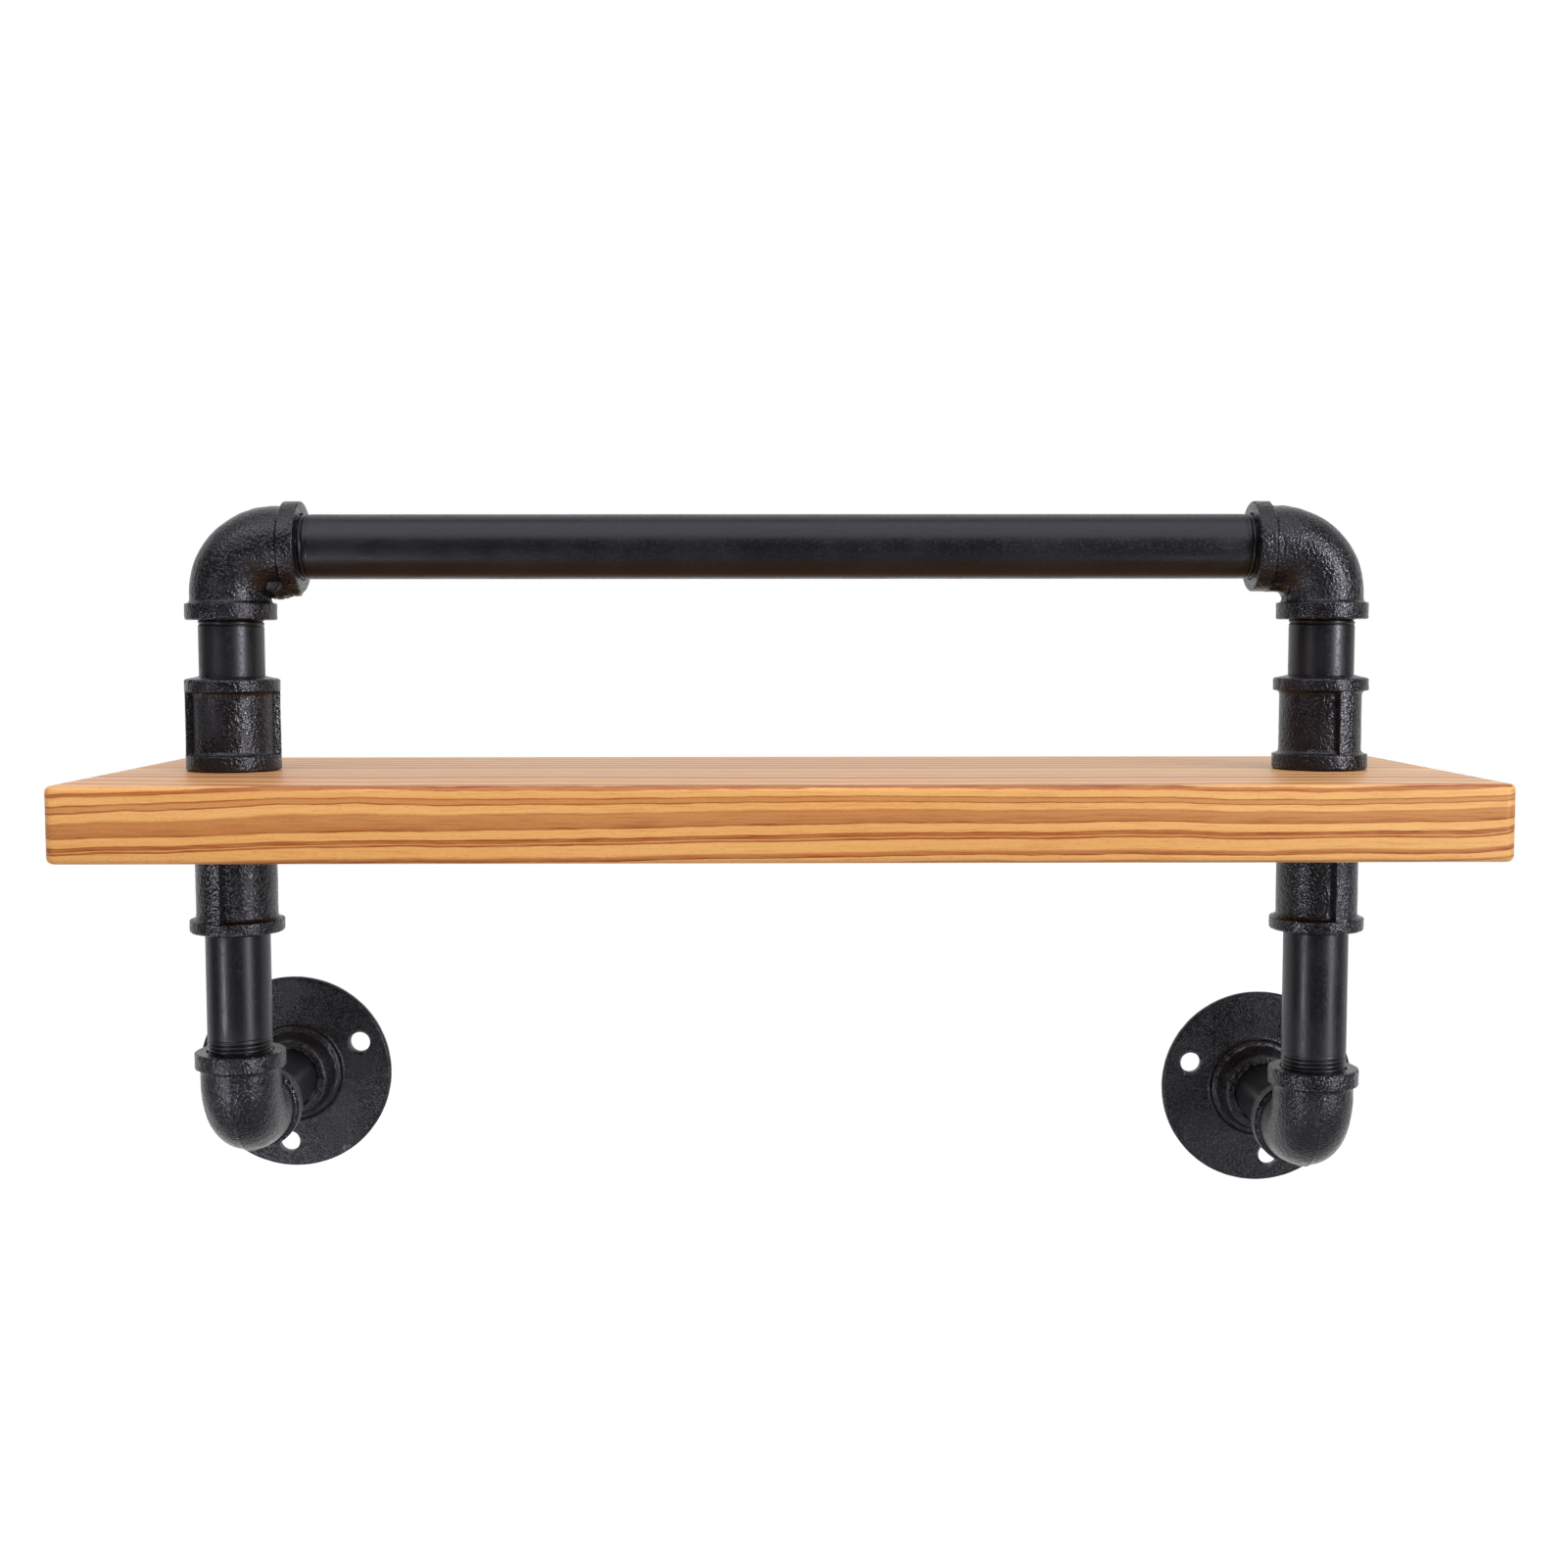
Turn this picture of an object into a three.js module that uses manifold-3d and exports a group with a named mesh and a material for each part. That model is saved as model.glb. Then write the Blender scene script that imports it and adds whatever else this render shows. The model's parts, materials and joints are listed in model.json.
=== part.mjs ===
// Wall shelf of 3/4 inch (DN20) black iron pipe with one solid pine board.
//
// Two pipe legs reach out from wall flanges, turn up, clamp the board between a coupling
// below it and a coupling above it, and carry a rail across the top. Every fitting is a
// separate hollow casting, and every pipe end sits in a tapered socket.
//
// Millimetres, +Z up, +Y towards the wall, -Y towards the room. The origin lies on the
// wall, half way between the legs, level with the left flange.

import * as THREE from "three";
import { mergeVertices } from "three/addons/utils/BufferGeometryUtils.js";
import Module from "manifold-3d";

// Pipe and its tapered thread
const pipeDiameter = 26.9;
const pipeWall = 2.65;
const threadLength = 17; // tapered length at each pipe end
const threadEngagement = 13; // length of pipe end inside a socket
const threadTaperShare = 1 / 32; // fall of the radius for each millimetre of length
const socketClearance = 0.2; // radial, where the full pipe would meet the socket's mouth
const socketSpare = 3; // socket depth beyond the pipe's end

// Cast fittings, whose walls are measured over the socket's mouth
const bandEdge = 0.9; // rounding of a band's outer edge
const elbowWall = 3.2;
const elbowBandWall = 5.35;
const elbowBandWidth = 7.2;
const elbowFillet = 1.4; // from the body up to the band
const crotchRadius = 2.5; // inside of an elbow's bend
const socketApart = 0.85; // an elbow's socket bottom to the other socket's wall
const couplingWall = 3.25;
const couplingBandWall = 5.8;
const couplingBandWidth = 6.5;
const couplingFillet = 1.8;
const couplingMiddle = 13.2; // between the two pipe ends in a coupling
const ribWidth = 6;
const ribCrown = 0.9; // bevel along a rib

// Wall flange
const flangeRadius = 45.3;
const flangeThickness = 4.5;
const flangeEdge = 1.3;
const hubHeight = 18;
const hubWall = 4.6; // hub wall over the socket's mouth
const hubFlare = 3.4; // how much wider the hub is at its foot
const hubEdge = 1;
const shoulderLedge = 1; // the shoulder's reach beyond the hub's foot
const shoulderHeight = 2.4; // over the plate
const shoulderEdge = 0.9;
const shoulderFillet = 1.6;
const pipeSetback = 3; // wall face to the pipe's end
const screwHoleRadius = 4.75;
const screwHoleBevel = 1.4;
const screwHoles = 3;
const screwCircleShare = 0.49; // place of the screw circle between the shoulder and the rim

// Board
const boardOverhang = { left: 47.8, right: 50.2 }; // pipe axis to the board's end
const boardDepth = 181;
const boardThickness = 29.6;
const boardFrontReach = 91; // pipe axis to the board's front edge
const boardCornerRadius = 5;
const boardEdgeRadius = 2.4;
const boreClearance = 0.8; // radial, round the pipe that passes through
const seatGap = 0.3; // coupling's end to the board's face

// How the pipework stands
const legSpacing = 457;
const wallNippleExposed = 49;
const lowerNippleExposed = 49.9;
const upperNippleExposed = 23.3;
const rightLegDrop = 8.3; // the right elbow is screwed on this much less

// Clock angles in degrees: a flange's first hole and a coupling's rib, from +X
const flangeClock = { left: 24.5, right: 160.3 };
const lowerRibClock = { left: -105, right: -72.5 };
const upperRibClock = { left: -163.5, right: -72 };

// Facets of round work
const roundFacets = 20;
const flangeFacets = 32;
const holeFacets = 12;
const cornerFacets = 4;
const bendSteps = 8;
const passageSteps = 4;
const filletSteps = 3;
const edgeSteps = 2;

// Worked out from the sizes above
const quarter = Math.PI / 2;
const degrees = Math.PI / 180;
const pipeRadius = pipeDiameter / 2;
const pipeBore = pipeRadius - pipeWall;
const mouthRadius = pipeRadius + socketClearance;
const socketDepth = threadEngagement + socketSpare;
const elbowRadius = mouthRadius + elbowWall;
const elbowBandRadius = mouthRadius + elbowBandWall;
const couplingRadius = mouthRadius + couplingWall;
const couplingBandRadius = mouthRadius + couplingBandWall;
const bendRadius = elbowRadius + crotchRadius;
const passageBend = mouthRadius + socketApart;
const elbowReach = passageBend + socketDepth;
const couplingLength = 2 * threadEngagement + couplingMiddle;
const boreRadius = pipeRadius + boreClearance;
const wallReach = hubHeight + wallNippleExposed + elbowReach;

const lowerCouplingFoot = elbowReach + lowerNippleExposed;
const boardFoot = lowerCouplingFoot + couplingLength + seatGap;
const upperCouplingFoot = boardFoot + boardThickness + seatGap;
const railHeight = upperCouplingFoot + couplingLength + upperNippleExposed + elbowReach;

const cutOverrun = 5; // a cutter's length past the face that it opens
const weldLimit = 1e-3; // vertices closer than this are one

const wasm = await Module();
wasm.setup();

// A closed geometry as a solid that can be joined and cut
function solidOf(geometry) {
  const loose = geometry.index ? geometry.toNonIndexed() : geometry;
  const bare = new THREE.BufferGeometry();
  bare.setAttribute("position", loose.getAttribute("position"));
  const welded = mergeVertices(bare, weldLimit);
  const corners = welded.index.array;
  const triangles = [];
  for (let i = 0; i < corners.length; i += 3) {
    const [a, b, c] = corners.slice(i, i + 3);
    if (a !== b && b !== c && c !== a) triangles.push(a, b, c);
  }
  return new wasm.Manifold(
    new wasm.Mesh({
      numProp: 3,
      vertProperties: welded.getAttribute("position").array,
      triVerts: new Uint32Array(triangles),
    }),
  );
}

// A solid back as a geometry for a mesh
function geometryOf(solid) {
  const { vertProperties, triVerts } = solid.getMesh();
  const geometry = new THREE.BufferGeometry();
  geometry.setAttribute("position", new THREE.BufferAttribute(vertProperties, 3));
  geometry.setIndex(new THREE.BufferAttribute(triVerts, 1));
  const faceted = geometry.toNonIndexed();
  faceted.computeVertexNormals();
  return faceted;
}

// Points of an arc, as [radius, height] pairs, from one angle to another in degrees
function arc(centreRadius, centreHeight, size, from, to, steps) {
  return Array.from({ length: steps + 1 }, (_, i) => {
    const angle = (from + ((to - from) * i) / steps) * degrees;
    return [centreRadius + size * Math.cos(angle), centreHeight + size * Math.sin(angle)];
  });
}

// A profile of [radius, height] pairs turned about +Z
function revolve(profile, facets = roundFacets) {
  const points = profile.map(([radius, height]) => new THREE.Vector2(radius, height));
  return new THREE.LatheGeometry(points, facets).rotateX(quarter);
}

// Rings of points joined in order, and the last to the first, as one closed skin
function loft(rings) {
  const around = rings[0].length;
  const corners = [];
  rings.forEach((_, i) => {
    const here = i * around;
    const next = ((i + 1) % rings.length) * around;
    for (let j = 0; j < around; j++) {
      const turned = (j + 1) % around;
      corners.push(here + j, here + turned, next + turned, here + j, next + turned, next + j);
    }
  });
  const geometry = new THREE.BufferGeometry().setFromPoints(rings.flat());
  geometry.setIndex(corners);
  geometry.computeVertexNormals();
  return geometry;
}

// The radius of a tapered socket at a depth below its mouth
function socketRadius(depth) {
  return mouthRadius - depth * threadTaperShare;
}

// The outside of a banded socket, as [radius, depth] pairs from its mouth to the plain body
function bandProfile(bandRadius, bodyRadius, width, fillet) {
  return [
    ...arc(bandRadius - bandEdge, bandEdge, bandEdge, 270, 360, edgeSteps),
    [bandRadius, width],
    ...arc(bodyRadius + fillet, width + fillet, fillet, 270, 180, filletSteps),
  ];
}

// The tapered inside of a socket, as [radius, depth] pairs from its bottom to its mouth
function socketProfile(depth) {
  return [
    [socketRadius(depth), depth],
    [socketRadius(0), 0],
  ];
}

// A pipe nipple along +Z from its lower end, with a tapered length at each end
function pipe(length) {
  const taper = Math.min(threadLength, length / 2);
  const endRadius = pipeRadius - taper * threadTaperShare;
  return revolve([
    [pipeBore, 0],
    [endRadius, 0],
    [pipeRadius, taper],
    [pipeRadius, length - taper],
    [endRadius, length],
    [pipeBore, length],
    [pipeBore, 0],
  ]);
}

// A ring round an elbow's centreline, which comes down +Z and turns out along +X
function elbowRing(turnRadius, radius, along) {
  const straight = elbowReach - turnRadius;
  const turn = THREE.MathUtils.clamp((along - straight) / turnRadius, 0, quarter);
  const outward = new THREE.Vector3(-Math.cos(turn), 0, -Math.sin(turn));
  const middle = new THREE.Vector3(turnRadius, 0, turnRadius).addScaledVector(outward, turnRadius);
  middle.z += Math.max(straight - along, 0);
  middle.x += Math.max(along - straight - quarter * turnRadius, 0);
  return Array.from({ length: roundFacets }, (_, i) => {
    const angle = (2 * Math.PI * i) / roundFacets;
    const point = middle.clone().addScaledVector(outward, radius * Math.cos(angle));
    point.y += radius * Math.sin(angle);
    return point;
  });
}

// Rings through the turn of an elbow, for its skin or its passage
function elbowTurn(turnRadius, radius, steps) {
  const straight = elbowReach - turnRadius;
  return Array.from({ length: steps + 1 }, (_, i) =>
    elbowRing(turnRadius, radius, straight + (quarter * turnRadius * i) / steps),
  );
}

// A cast 90 degree elbow with a banded mouth on +Z and one on +X: out along its skin from
// mouth to mouth, and back through the sockets and the curved passage between them
function elbow() {
  const skinEnd = 2 * (elbowReach - bendRadius) + quarter * bendRadius;
  const passageEnd = 2 * socketDepth + quarter * passageBend;
  const band = bandProfile(elbowBandRadius, elbowRadius, elbowBandWidth, elbowFillet);
  const socket = socketProfile(socketDepth);
  return loft([
    ...band.map(([radius, depth]) => elbowRing(bendRadius, radius, depth)),
    ...elbowTurn(bendRadius, elbowRadius, bendSteps),
    ...band.map(([radius, depth]) => elbowRing(bendRadius, radius, skinEnd - depth)).reverse(),
    ...socket.map(([radius, depth]) => elbowRing(passageBend, radius, passageEnd - depth)).reverse(),
    ...elbowTurn(passageBend, pipeBore, passageSteps).reverse(),
    ...socket.map(([radius, depth]) => elbowRing(passageBend, radius, depth)),
  ]);
}

// One rib along a coupling, from band to band on +X
function couplingRib() {
  const half = ribWidth / 2;
  const root = mouthRadius + couplingWall / 2;
  const section = new THREE.Shape([
    new THREE.Vector2(root, -half),
    new THREE.Vector2(couplingBandRadius - ribCrown, -half),
    new THREE.Vector2(couplingBandRadius, ribCrown - half),
    new THREE.Vector2(couplingBandRadius, half - ribCrown),
    new THREE.Vector2(couplingBandRadius - ribCrown, half),
    new THREE.Vector2(root, half),
  ]);
  const depth = couplingLength - couplingBandWidth;
  return solidOf(new THREE.ExtrudeGeometry(section, { depth, bevelEnabled: false })).translate([
    0,
    0,
    couplingBandWidth / 2,
  ]);
}

// A cast coupling along +Z from its lower mouth, with a band at each end and two ribs
function coupling(ribClock) {
  const band = bandProfile(couplingBandRadius, couplingRadius, couplingBandWidth, couplingFillet);
  const socket = socketProfile(couplingLength / 2);
  const upsideDown = ([radius, depth]) => [radius, couplingLength - depth];
  const shell = solidOf(
    revolve([...socket, ...band, ...band.map(upsideDown).reverse(), ...socket.map(upsideDown).reverse()]),
  );
  const rib = couplingRib();
  return geometryOf(
    shell.add(rib.rotate([0, 0, ribClock])).add(rib.rotate([0, 0, ribClock + 180])),
  );
}

// The cutter for one screw hole through a flange, on +X, opened out by a bevel at its front
function screwHole(circle) {
  const wide = screwHoleRadius + screwHoleBevel;
  return solidOf(
    revolve(
      [
        [0, -cutOverrun],
        [screwHoleRadius, -cutOverrun],
        [screwHoleRadius, flangeThickness - screwHoleBevel],
        [wide, flangeThickness],
        [wide, flangeThickness + cutOverrun],
        [0, flangeThickness + cutOverrun],
      ],
      holeFacets,
    ),
  ).translate([circle, 0, 0]);
}

// A wall flange along +Z from its wall face: a round plate, a shoulder, a flared hub with the
// socket right through it, and screw holes
function wallFlange(clock) {
  const hubRadius = mouthRadius + hubWall;
  const footRadius = hubRadius + hubFlare;
  const shoulderRadius = footRadius + shoulderLedge;
  const shoulderTop = flangeThickness + shoulderHeight;
  const filletFoot = flangeThickness + shoulderFillet;
  let flange = solidOf(
    revolve(
      [
        [socketRadius(hubHeight), 0],
        [flangeRadius - flangeEdge / 2, 0],
        [flangeRadius, flangeEdge / 2],
        ...arc(flangeRadius - flangeEdge, flangeThickness - flangeEdge, flangeEdge, 0, 90, filletSteps),
        ...arc(shoulderRadius + shoulderFillet, filletFoot, shoulderFillet, 270, 180, filletSteps),
        ...arc(shoulderRadius - shoulderEdge, shoulderTop - shoulderEdge, shoulderEdge, 0, 90, edgeSteps),
        [footRadius, shoulderTop],
        ...arc(hubRadius - hubEdge, hubHeight - hubEdge, hubEdge, 0, 90, edgeSteps),
        [socketRadius(0), hubHeight],
        [socketRadius(hubHeight), 0],
      ],
      flangeFacets,
    ),
  );
  const hole = screwHole(THREE.MathUtils.lerp(shoulderRadius, flangeRadius, screwCircleShare));
  for (let i = 0; i < screwHoles; i++) {
    flange = flange.subtract(hole.rotate([0, 0, clock + (360 * i) / screwHoles]));
  }
  return geometryOf(flange);
}

// The board's outline with rounded corners, drawn in by the rounding of its edges
function boardOutline() {
  const right = legSpacing / 2 + boardOverhang.right - boardCornerRadius;
  const left = -legSpacing / 2 - boardOverhang.left + boardCornerRadius;
  const front = -boardFrontReach + boardCornerRadius;
  const back = boardDepth - boardFrontReach - boardCornerRadius;
  const corner = boardCornerRadius - boardEdgeRadius;
  const outline = new THREE.Shape();
  outline.absarc(right, back, corner, 0, quarter);
  outline.absarc(left, back, corner, quarter, 2 * quarter);
  outline.absarc(left, front, corner, 2 * quarter, 3 * quarter);
  outline.absarc(right, front, corner, 3 * quarter, 4 * quarter);
  return outline;
}

// The board from its lower face up, with one bore for each leg on y = 0
function board() {
  const plank = solidOf(
    new THREE.ExtrudeGeometry(boardOutline(), {
      curveSegments: cornerFacets,
      depth: boardThickness - 2 * boardEdgeRadius,
      bevelThickness: boardEdgeRadius,
      bevelSize: boardEdgeRadius,
      bevelSegments: edgeSteps,
    }),
  ).translate([0, 0, boardEdgeRadius]);
  const bore = solidOf(
    revolve([
      [0, -cutOverrun],
      [boreRadius, -cutOverrun],
      [boreRadius, boardThickness + cutOverrun],
      [0, boardThickness + cutOverrun],
    ]),
  );
  return geometryOf(
    plank
      .subtract(bore.translate([-legSpacing / 2, 0, 0]))
      .subtract(bore.translate([legSpacing / 2, 0, 0])),
  );
}

function castIron() {
  return new THREE.MeshStandardMaterial({ color: 0x1c1c1e, roughness: 0.42, metalness: 0.55 });
}

function blackPipe() {
  return new THREE.MeshStandardMaterial({ color: 0x232327, roughness: 0.5, metalness: 0.5 });
}

function pine() {
  return new THREE.MeshStandardMaterial({ color: 0xdda662, roughness: 0.55, metalness: 0 });
}

// A named mesh at its place, turned by the given angles
function piece(name, geometry, material, place, turn = [0, 0, 0]) {
  const mesh = new THREE.Mesh(geometry, material);
  mesh.name = name;
  mesh.position.set(...place);
  mesh.rotation.set(...turn);
  return mesh;
}

const facingRoom = [quarter, 0, 0]; // +Z turned to -Y
const mouthsUpAndBack = [0, 0, quarter];
const mouthsDownAndRight = [2 * quarter, 0, 0];
const mouthsDownAndLeft = [0, 2 * quarter, 0];
const alongX = [0, quarter, 0];

// The arm below one upright: wall flange, wall nipple and lower elbow
function wallArm(side) {
  const arm = new THREE.Group();
  const nippleLength = hubHeight - pipeSetback + wallNippleExposed + threadEngagement;
  const nipplePlace = [0, wallReach - pipeSetback, 0];
  arm.add(
    piece(`${side}_wall_flange`, wallFlange(flangeClock[side]), castIron(), [0, wallReach, 0], facingRoom),
    piece(`${side}_wall_nipple`, pipe(nippleLength), blackPipe(), nipplePlace, facingRoom),
    piece(`${side}_lower_elbow`, elbow(), castIron(), [0, 0, 0], mouthsUpAndBack),
  );
  return arm;
}

// One upright on its pipe axis, from the lower nipple to the elbow that carries the rail
function upright(side) {
  const post = new THREE.Group();
  const turnOver = side === "left" ? mouthsDownAndRight : mouthsDownAndLeft;
  const casting = (name, geometry, height, turn) =>
    piece(`${side}_${name}`, geometry, castIron(), [0, 0, height], turn);
  const nipple = (name, exposed, height) => {
    const geometry = pipe(exposed + 2 * threadEngagement);
    return piece(`${side}_${name}`, geometry, blackPipe(), [0, 0, height - threadEngagement]);
  };
  post.add(
    nipple("lower_nipple", lowerNippleExposed, elbowReach),
    casting("lower_coupling", coupling(lowerRibClock[side]), lowerCouplingFoot),
    nipple("board_nipple", boardThickness + 2 * seatGap, lowerCouplingFoot + couplingLength),
    casting("upper_coupling", coupling(upperRibClock[side]), upperCouplingFoot),
    nipple("upper_nipple", upperNippleExposed, upperCouplingFoot + couplingLength),
    casting("upper_elbow", elbow(), railHeight, turnOver),
  );
  return post;
}

const shelf = new THREE.Group();
shelf.name = "pipe_shelf";

for (const side of ["left", "right"]) {
  const leg = new THREE.Group();
  leg.position.set(side === "left" ? -legSpacing / 2 : legSpacing / 2, -wallReach, 0);
  const arm = wallArm(side);
  arm.position.z = side === "left" ? 0 : -rightLegDrop;
  leg.add(upright(side), arm);
  shelf.add(leg);
}

const railLength = legSpacing - 2 * elbowReach + 2 * threadEngagement;
shelf.add(
  piece("top_rail", pipe(railLength), blackPipe(), [-railLength / 2, -wallReach, railHeight], alongX),
  piece("shelf_board", board(), pine(), [0, -wallReach, boardFoot]),
);

export default shelf;
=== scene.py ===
"""Wall shelf of black iron pipe and one pine board, finished for the eye.

Every casting, pipe and board here stands for the plain solid of the same name and rides on
the same body. Metres, +Z up, +Y towards the wall, -Y towards the room.
"""

import json
import logging
import math
from dataclasses import dataclass, field
from enum import Enum
from typing import Callable, Sequence

import bpy
from mathutils import Color, Matrix, Vector, noise


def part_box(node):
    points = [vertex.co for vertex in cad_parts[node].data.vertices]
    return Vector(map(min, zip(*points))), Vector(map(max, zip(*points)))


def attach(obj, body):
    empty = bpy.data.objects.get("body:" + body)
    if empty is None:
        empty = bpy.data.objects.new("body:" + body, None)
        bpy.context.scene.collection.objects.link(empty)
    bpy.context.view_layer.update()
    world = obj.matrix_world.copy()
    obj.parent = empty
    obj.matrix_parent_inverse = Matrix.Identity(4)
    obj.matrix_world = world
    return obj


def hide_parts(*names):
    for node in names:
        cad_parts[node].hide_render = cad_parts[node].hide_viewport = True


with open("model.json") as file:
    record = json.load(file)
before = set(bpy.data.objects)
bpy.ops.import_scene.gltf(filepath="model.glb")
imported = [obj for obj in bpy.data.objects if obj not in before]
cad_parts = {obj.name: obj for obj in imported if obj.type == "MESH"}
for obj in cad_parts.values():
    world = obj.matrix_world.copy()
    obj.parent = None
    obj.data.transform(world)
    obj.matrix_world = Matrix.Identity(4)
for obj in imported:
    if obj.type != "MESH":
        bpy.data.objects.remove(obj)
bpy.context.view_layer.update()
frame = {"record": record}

log = logging.getLogger("pipe_shelf")

Ring = list[Vector]
Point = tuple[float, float]
Profile = list[Point]
Row = tuple[float, float, float, float]
Faces = list[tuple[int, ...]]
Span = tuple[float, float]
Change = tuple[float, float, float, float]
Axes = tuple[float, float, float]
Colour = tuple[float, float, float, float]
Mesh = bpy.types.Mesh
Piece = bpy.types.Object
Material = bpy.types.Material
Node = bpy.types.Node
Socket = bpy.types.NodeSocket

QUARTER = math.pi / 2
FULL = 2 * math.pi
RIGHT_ANGLE = 90
MATRIX_SIZE = 4
CAST_CREASE = 42.0
PLAIN_CREASE = 50.0
SEAM_SPREAD = (-1, -0.5, 0, 0.5, 1)
SEAM_PARTS = 3
SCREEN_WHITE = 255
MILLIMETRE = 0.001
WHITE: Colour = (1.0, 1.0, 1.0, 1.0)


def srgb(red: int, green: int, blue: int) -> Colour:
    """A colour as scene light, from its screen values from 0 to 255."""
    screen = Color((red / SCREEN_WHITE, green / SCREEN_WHITE, blue / SCREEN_WHITE))
    return (*screen.from_srgb_to_scene_linear(), 1.0)


def smooth(value: float) -> float:
    """An even step from 0 to 1 as the value goes from 0 to 1."""
    share = min(max(value, 0.0), 1.0)
    return share * share * (3 - 2 * share)


def arc(centre: Point, size: float, start: float, end: float, steps: int) -> Profile:
    """Points of an arc.

    Args:
        centre: Radius and depth of the arc's centre.
        size: Radius of the arc.
        start: First angle in degrees.
        end: Last angle in degrees.
        steps: Number of stretches between the points.

    Returns:
        The points as (radius, depth) pairs.
    """
    points = []
    for step in range(steps + 1):
        angle = math.radians(start + (end - start) * step / steps)
        points.append((centre[0] + size * math.cos(angle), centre[1] + size * math.sin(angle)))
    return points


def stretch(start: Point, end: Point, steps: int) -> Profile:
    """Points between two points of a profile, without the first.

    Args:
        start: Point before the stretch.
        end: Last point of the stretch.
        steps: Number of points.

    Returns:
        The points as (radius, depth) pairs.
    """
    points = []
    for step in range(1, steps + 1):
        share = step / steps
        points.append((start[0] + (end[0] - start[0]) * share, start[1] + (end[1] - start[1]) * share))
    return points


def turn_between(first: float, second: float) -> float:
    """The turn from the second angle to the first, from minus half a turn to half a turn."""
    return (first - second + math.pi) % FULL - math.pi


def even_angles(count: int) -> list[float]:
    """So many angles round a full turn, evenly spaced."""
    return [FULL * step / count for step in range(count)]


def angles_round(count: int, seams: Sequence[float], half_width: float) -> list[float]:
    """Angles round a piece, closer together at its seams and ribs.

    Args:
        count: Number of evenly spaced angles.
        seams: Angles that get extra points.
        half_width: Half the angle over which the extra points lie.

    Returns:
        The angles in rising order.
    """
    extra = [seam + half_width * share for seam in seams for share in SEAM_SPREAD]
    clear = FULL / count / SEAM_PARTS
    kept = [
        angle
        for angle in even_angles(count)
        if all(abs(turn_between(angle, other)) > clear for other in extra)
    ]
    return sorted(kept + [angle % FULL for angle in extra])


def level_ring(angles: Sequence[float], height: float, radii: float | Sequence[float]) -> Ring:
    """A ring round the Z axis.

    Args:
        angles: Angles of its points.
        height: Its height.
        radii: Its radius, or one for each angle.

    Returns:
        The ring.
    """
    spread = [radii] * len(angles) if isinstance(radii, float) else radii
    pairs = zip(spread, angles)
    return [Vector((radius * math.cos(angle), radius * math.sin(angle), height)) for radius, angle in pairs]


class Surface(Enum):
    """Parts of a casting's section, with the share of its relief and of its nicks that each takes."""

    BARE = (0.0, 0.0)
    SKIN = (1.0, 0.0)
    FACE = (0.6, 0.0)
    LIP = (1.0, 1.0)
    BAND = (1.0, 0.25)
    STEP = (1.0, 0.8)
    FOOT = (0.8, 0.0)
    BURR = (0.3, 1.0)
    RIM = (0.4, 0.4)
    RIM_EDGE = (0.6, 0.8)
    SHOULDER = (1.0, 0.3)
    CROWN = (0.8, 0.8)
    END = (0.5, 0.0)


def rows_of(surface: Surface, points: Sequence[Point]) -> list[Row]:
    """Points of a section as (radius, depth, relief, nicks)."""
    return [(*point, *surface.value) for point in points]


def mirrored(rows: Sequence[Row], length: float) -> list[Row]:
    """The same rows at the other end of a piece of this length."""
    return [(radius, length - depth, relief, nicks) for radius, depth, relief, nicks in reversed(rows)]


@dataclass(frozen=True)
class Thread:
    """Taper pipe thread, cut into the outside of a pipe's end and rounded by its paint."""

    engaged: float = 0.013
    taper: float = 1 / 32
    pitch: float = 0.001814
    groove: float = 0.0007
    groove_share: float = 0.34
    run_out: float = 0.0034

    def depth(self, from_end: float, angle: float, length: float) -> float:
        """The cut at a distance from the pipe's end, on a thread of this length."""
        fade = smooth((length - from_end) / self.run_out)
        return self.groove * self.wave(from_end, angle) * fade

    def wave(self, along: float, angle: float) -> float:
        """The thread's section, 0 on its wide crest and 1 in its narrow groove."""
        turn = (along / self.pitch - angle / FULL) % 1.0
        return smooth(1 - abs(turn - 0.5) / self.groove_share)


@dataclass(frozen=True)
class Relief:
    """The unevenness of a sand casting: a slow swell, small pocks, and nicks along edges."""

    swell: float = 0.00022
    swell_length: float = 0.009
    pock: float = 0.00013
    pock_length: float = 0.0023
    nick: float = 0.0004
    nick_length: float = 0.0032
    nick_shift: Axes = (7.3, 1.9, 4.1)
    nick_from: float = 0.1
    nick_gain: float = 2.2

    def depth(self, place: Vector, edge: float) -> float:
        """How far the surface lies below its true form.

        Args:
            place: Place on the surface.
            edge: 1 on an edge that gets nicked, 0 elsewhere.

        Returns:
            The depth, never negative.
        """
        slow = 0.5 + 0.5 * noise.noise(place / self.swell_length)
        quick = 0.5 + 0.5 * noise.noise(place / self.pock_length)
        depth = self.swell * slow + self.pock * quick
        if edge > 0:
            chip = noise.noise(place / self.nick_length + Vector(self.nick_shift))
            depth += edge * self.nick * smooth((chip - self.nick_from) * self.nick_gain)
        return max(depth, 0.0)


def signed_volume(mesh: Mesh) -> float:
    """Six times the volume inside a mesh.

    Args:
        mesh: The closed mesh.

    Returns:
        The sum, negative if the mesh is inside out.
    """
    total = 0.0
    for face in mesh.polygons:
        first, *rest = [mesh.vertices[index].co for index in face.vertices]
        for second, third in zip(rest, rest[1:]):
            total += first.dot(second.cross(third))
    return total


def quads(bands: int, around: int, rings: int) -> Faces:
    """Faces between rings of points that follow one another.

    Args:
        bands: Number of bands of faces.
        around: Points in a ring.
        rings: Number of rings, after which the first comes again.

    Returns:
        The faces, by the numbers of their points.
    """
    faces: Faces = []
    for band in range(bands):
        here = band * around
        after = (band + 1) % rings * around
        for turn in range(around):
            beside = (turn + 1) % around
            faces.append((here + turn, here + beside, after + beside, after + turn))
    return faces


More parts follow.
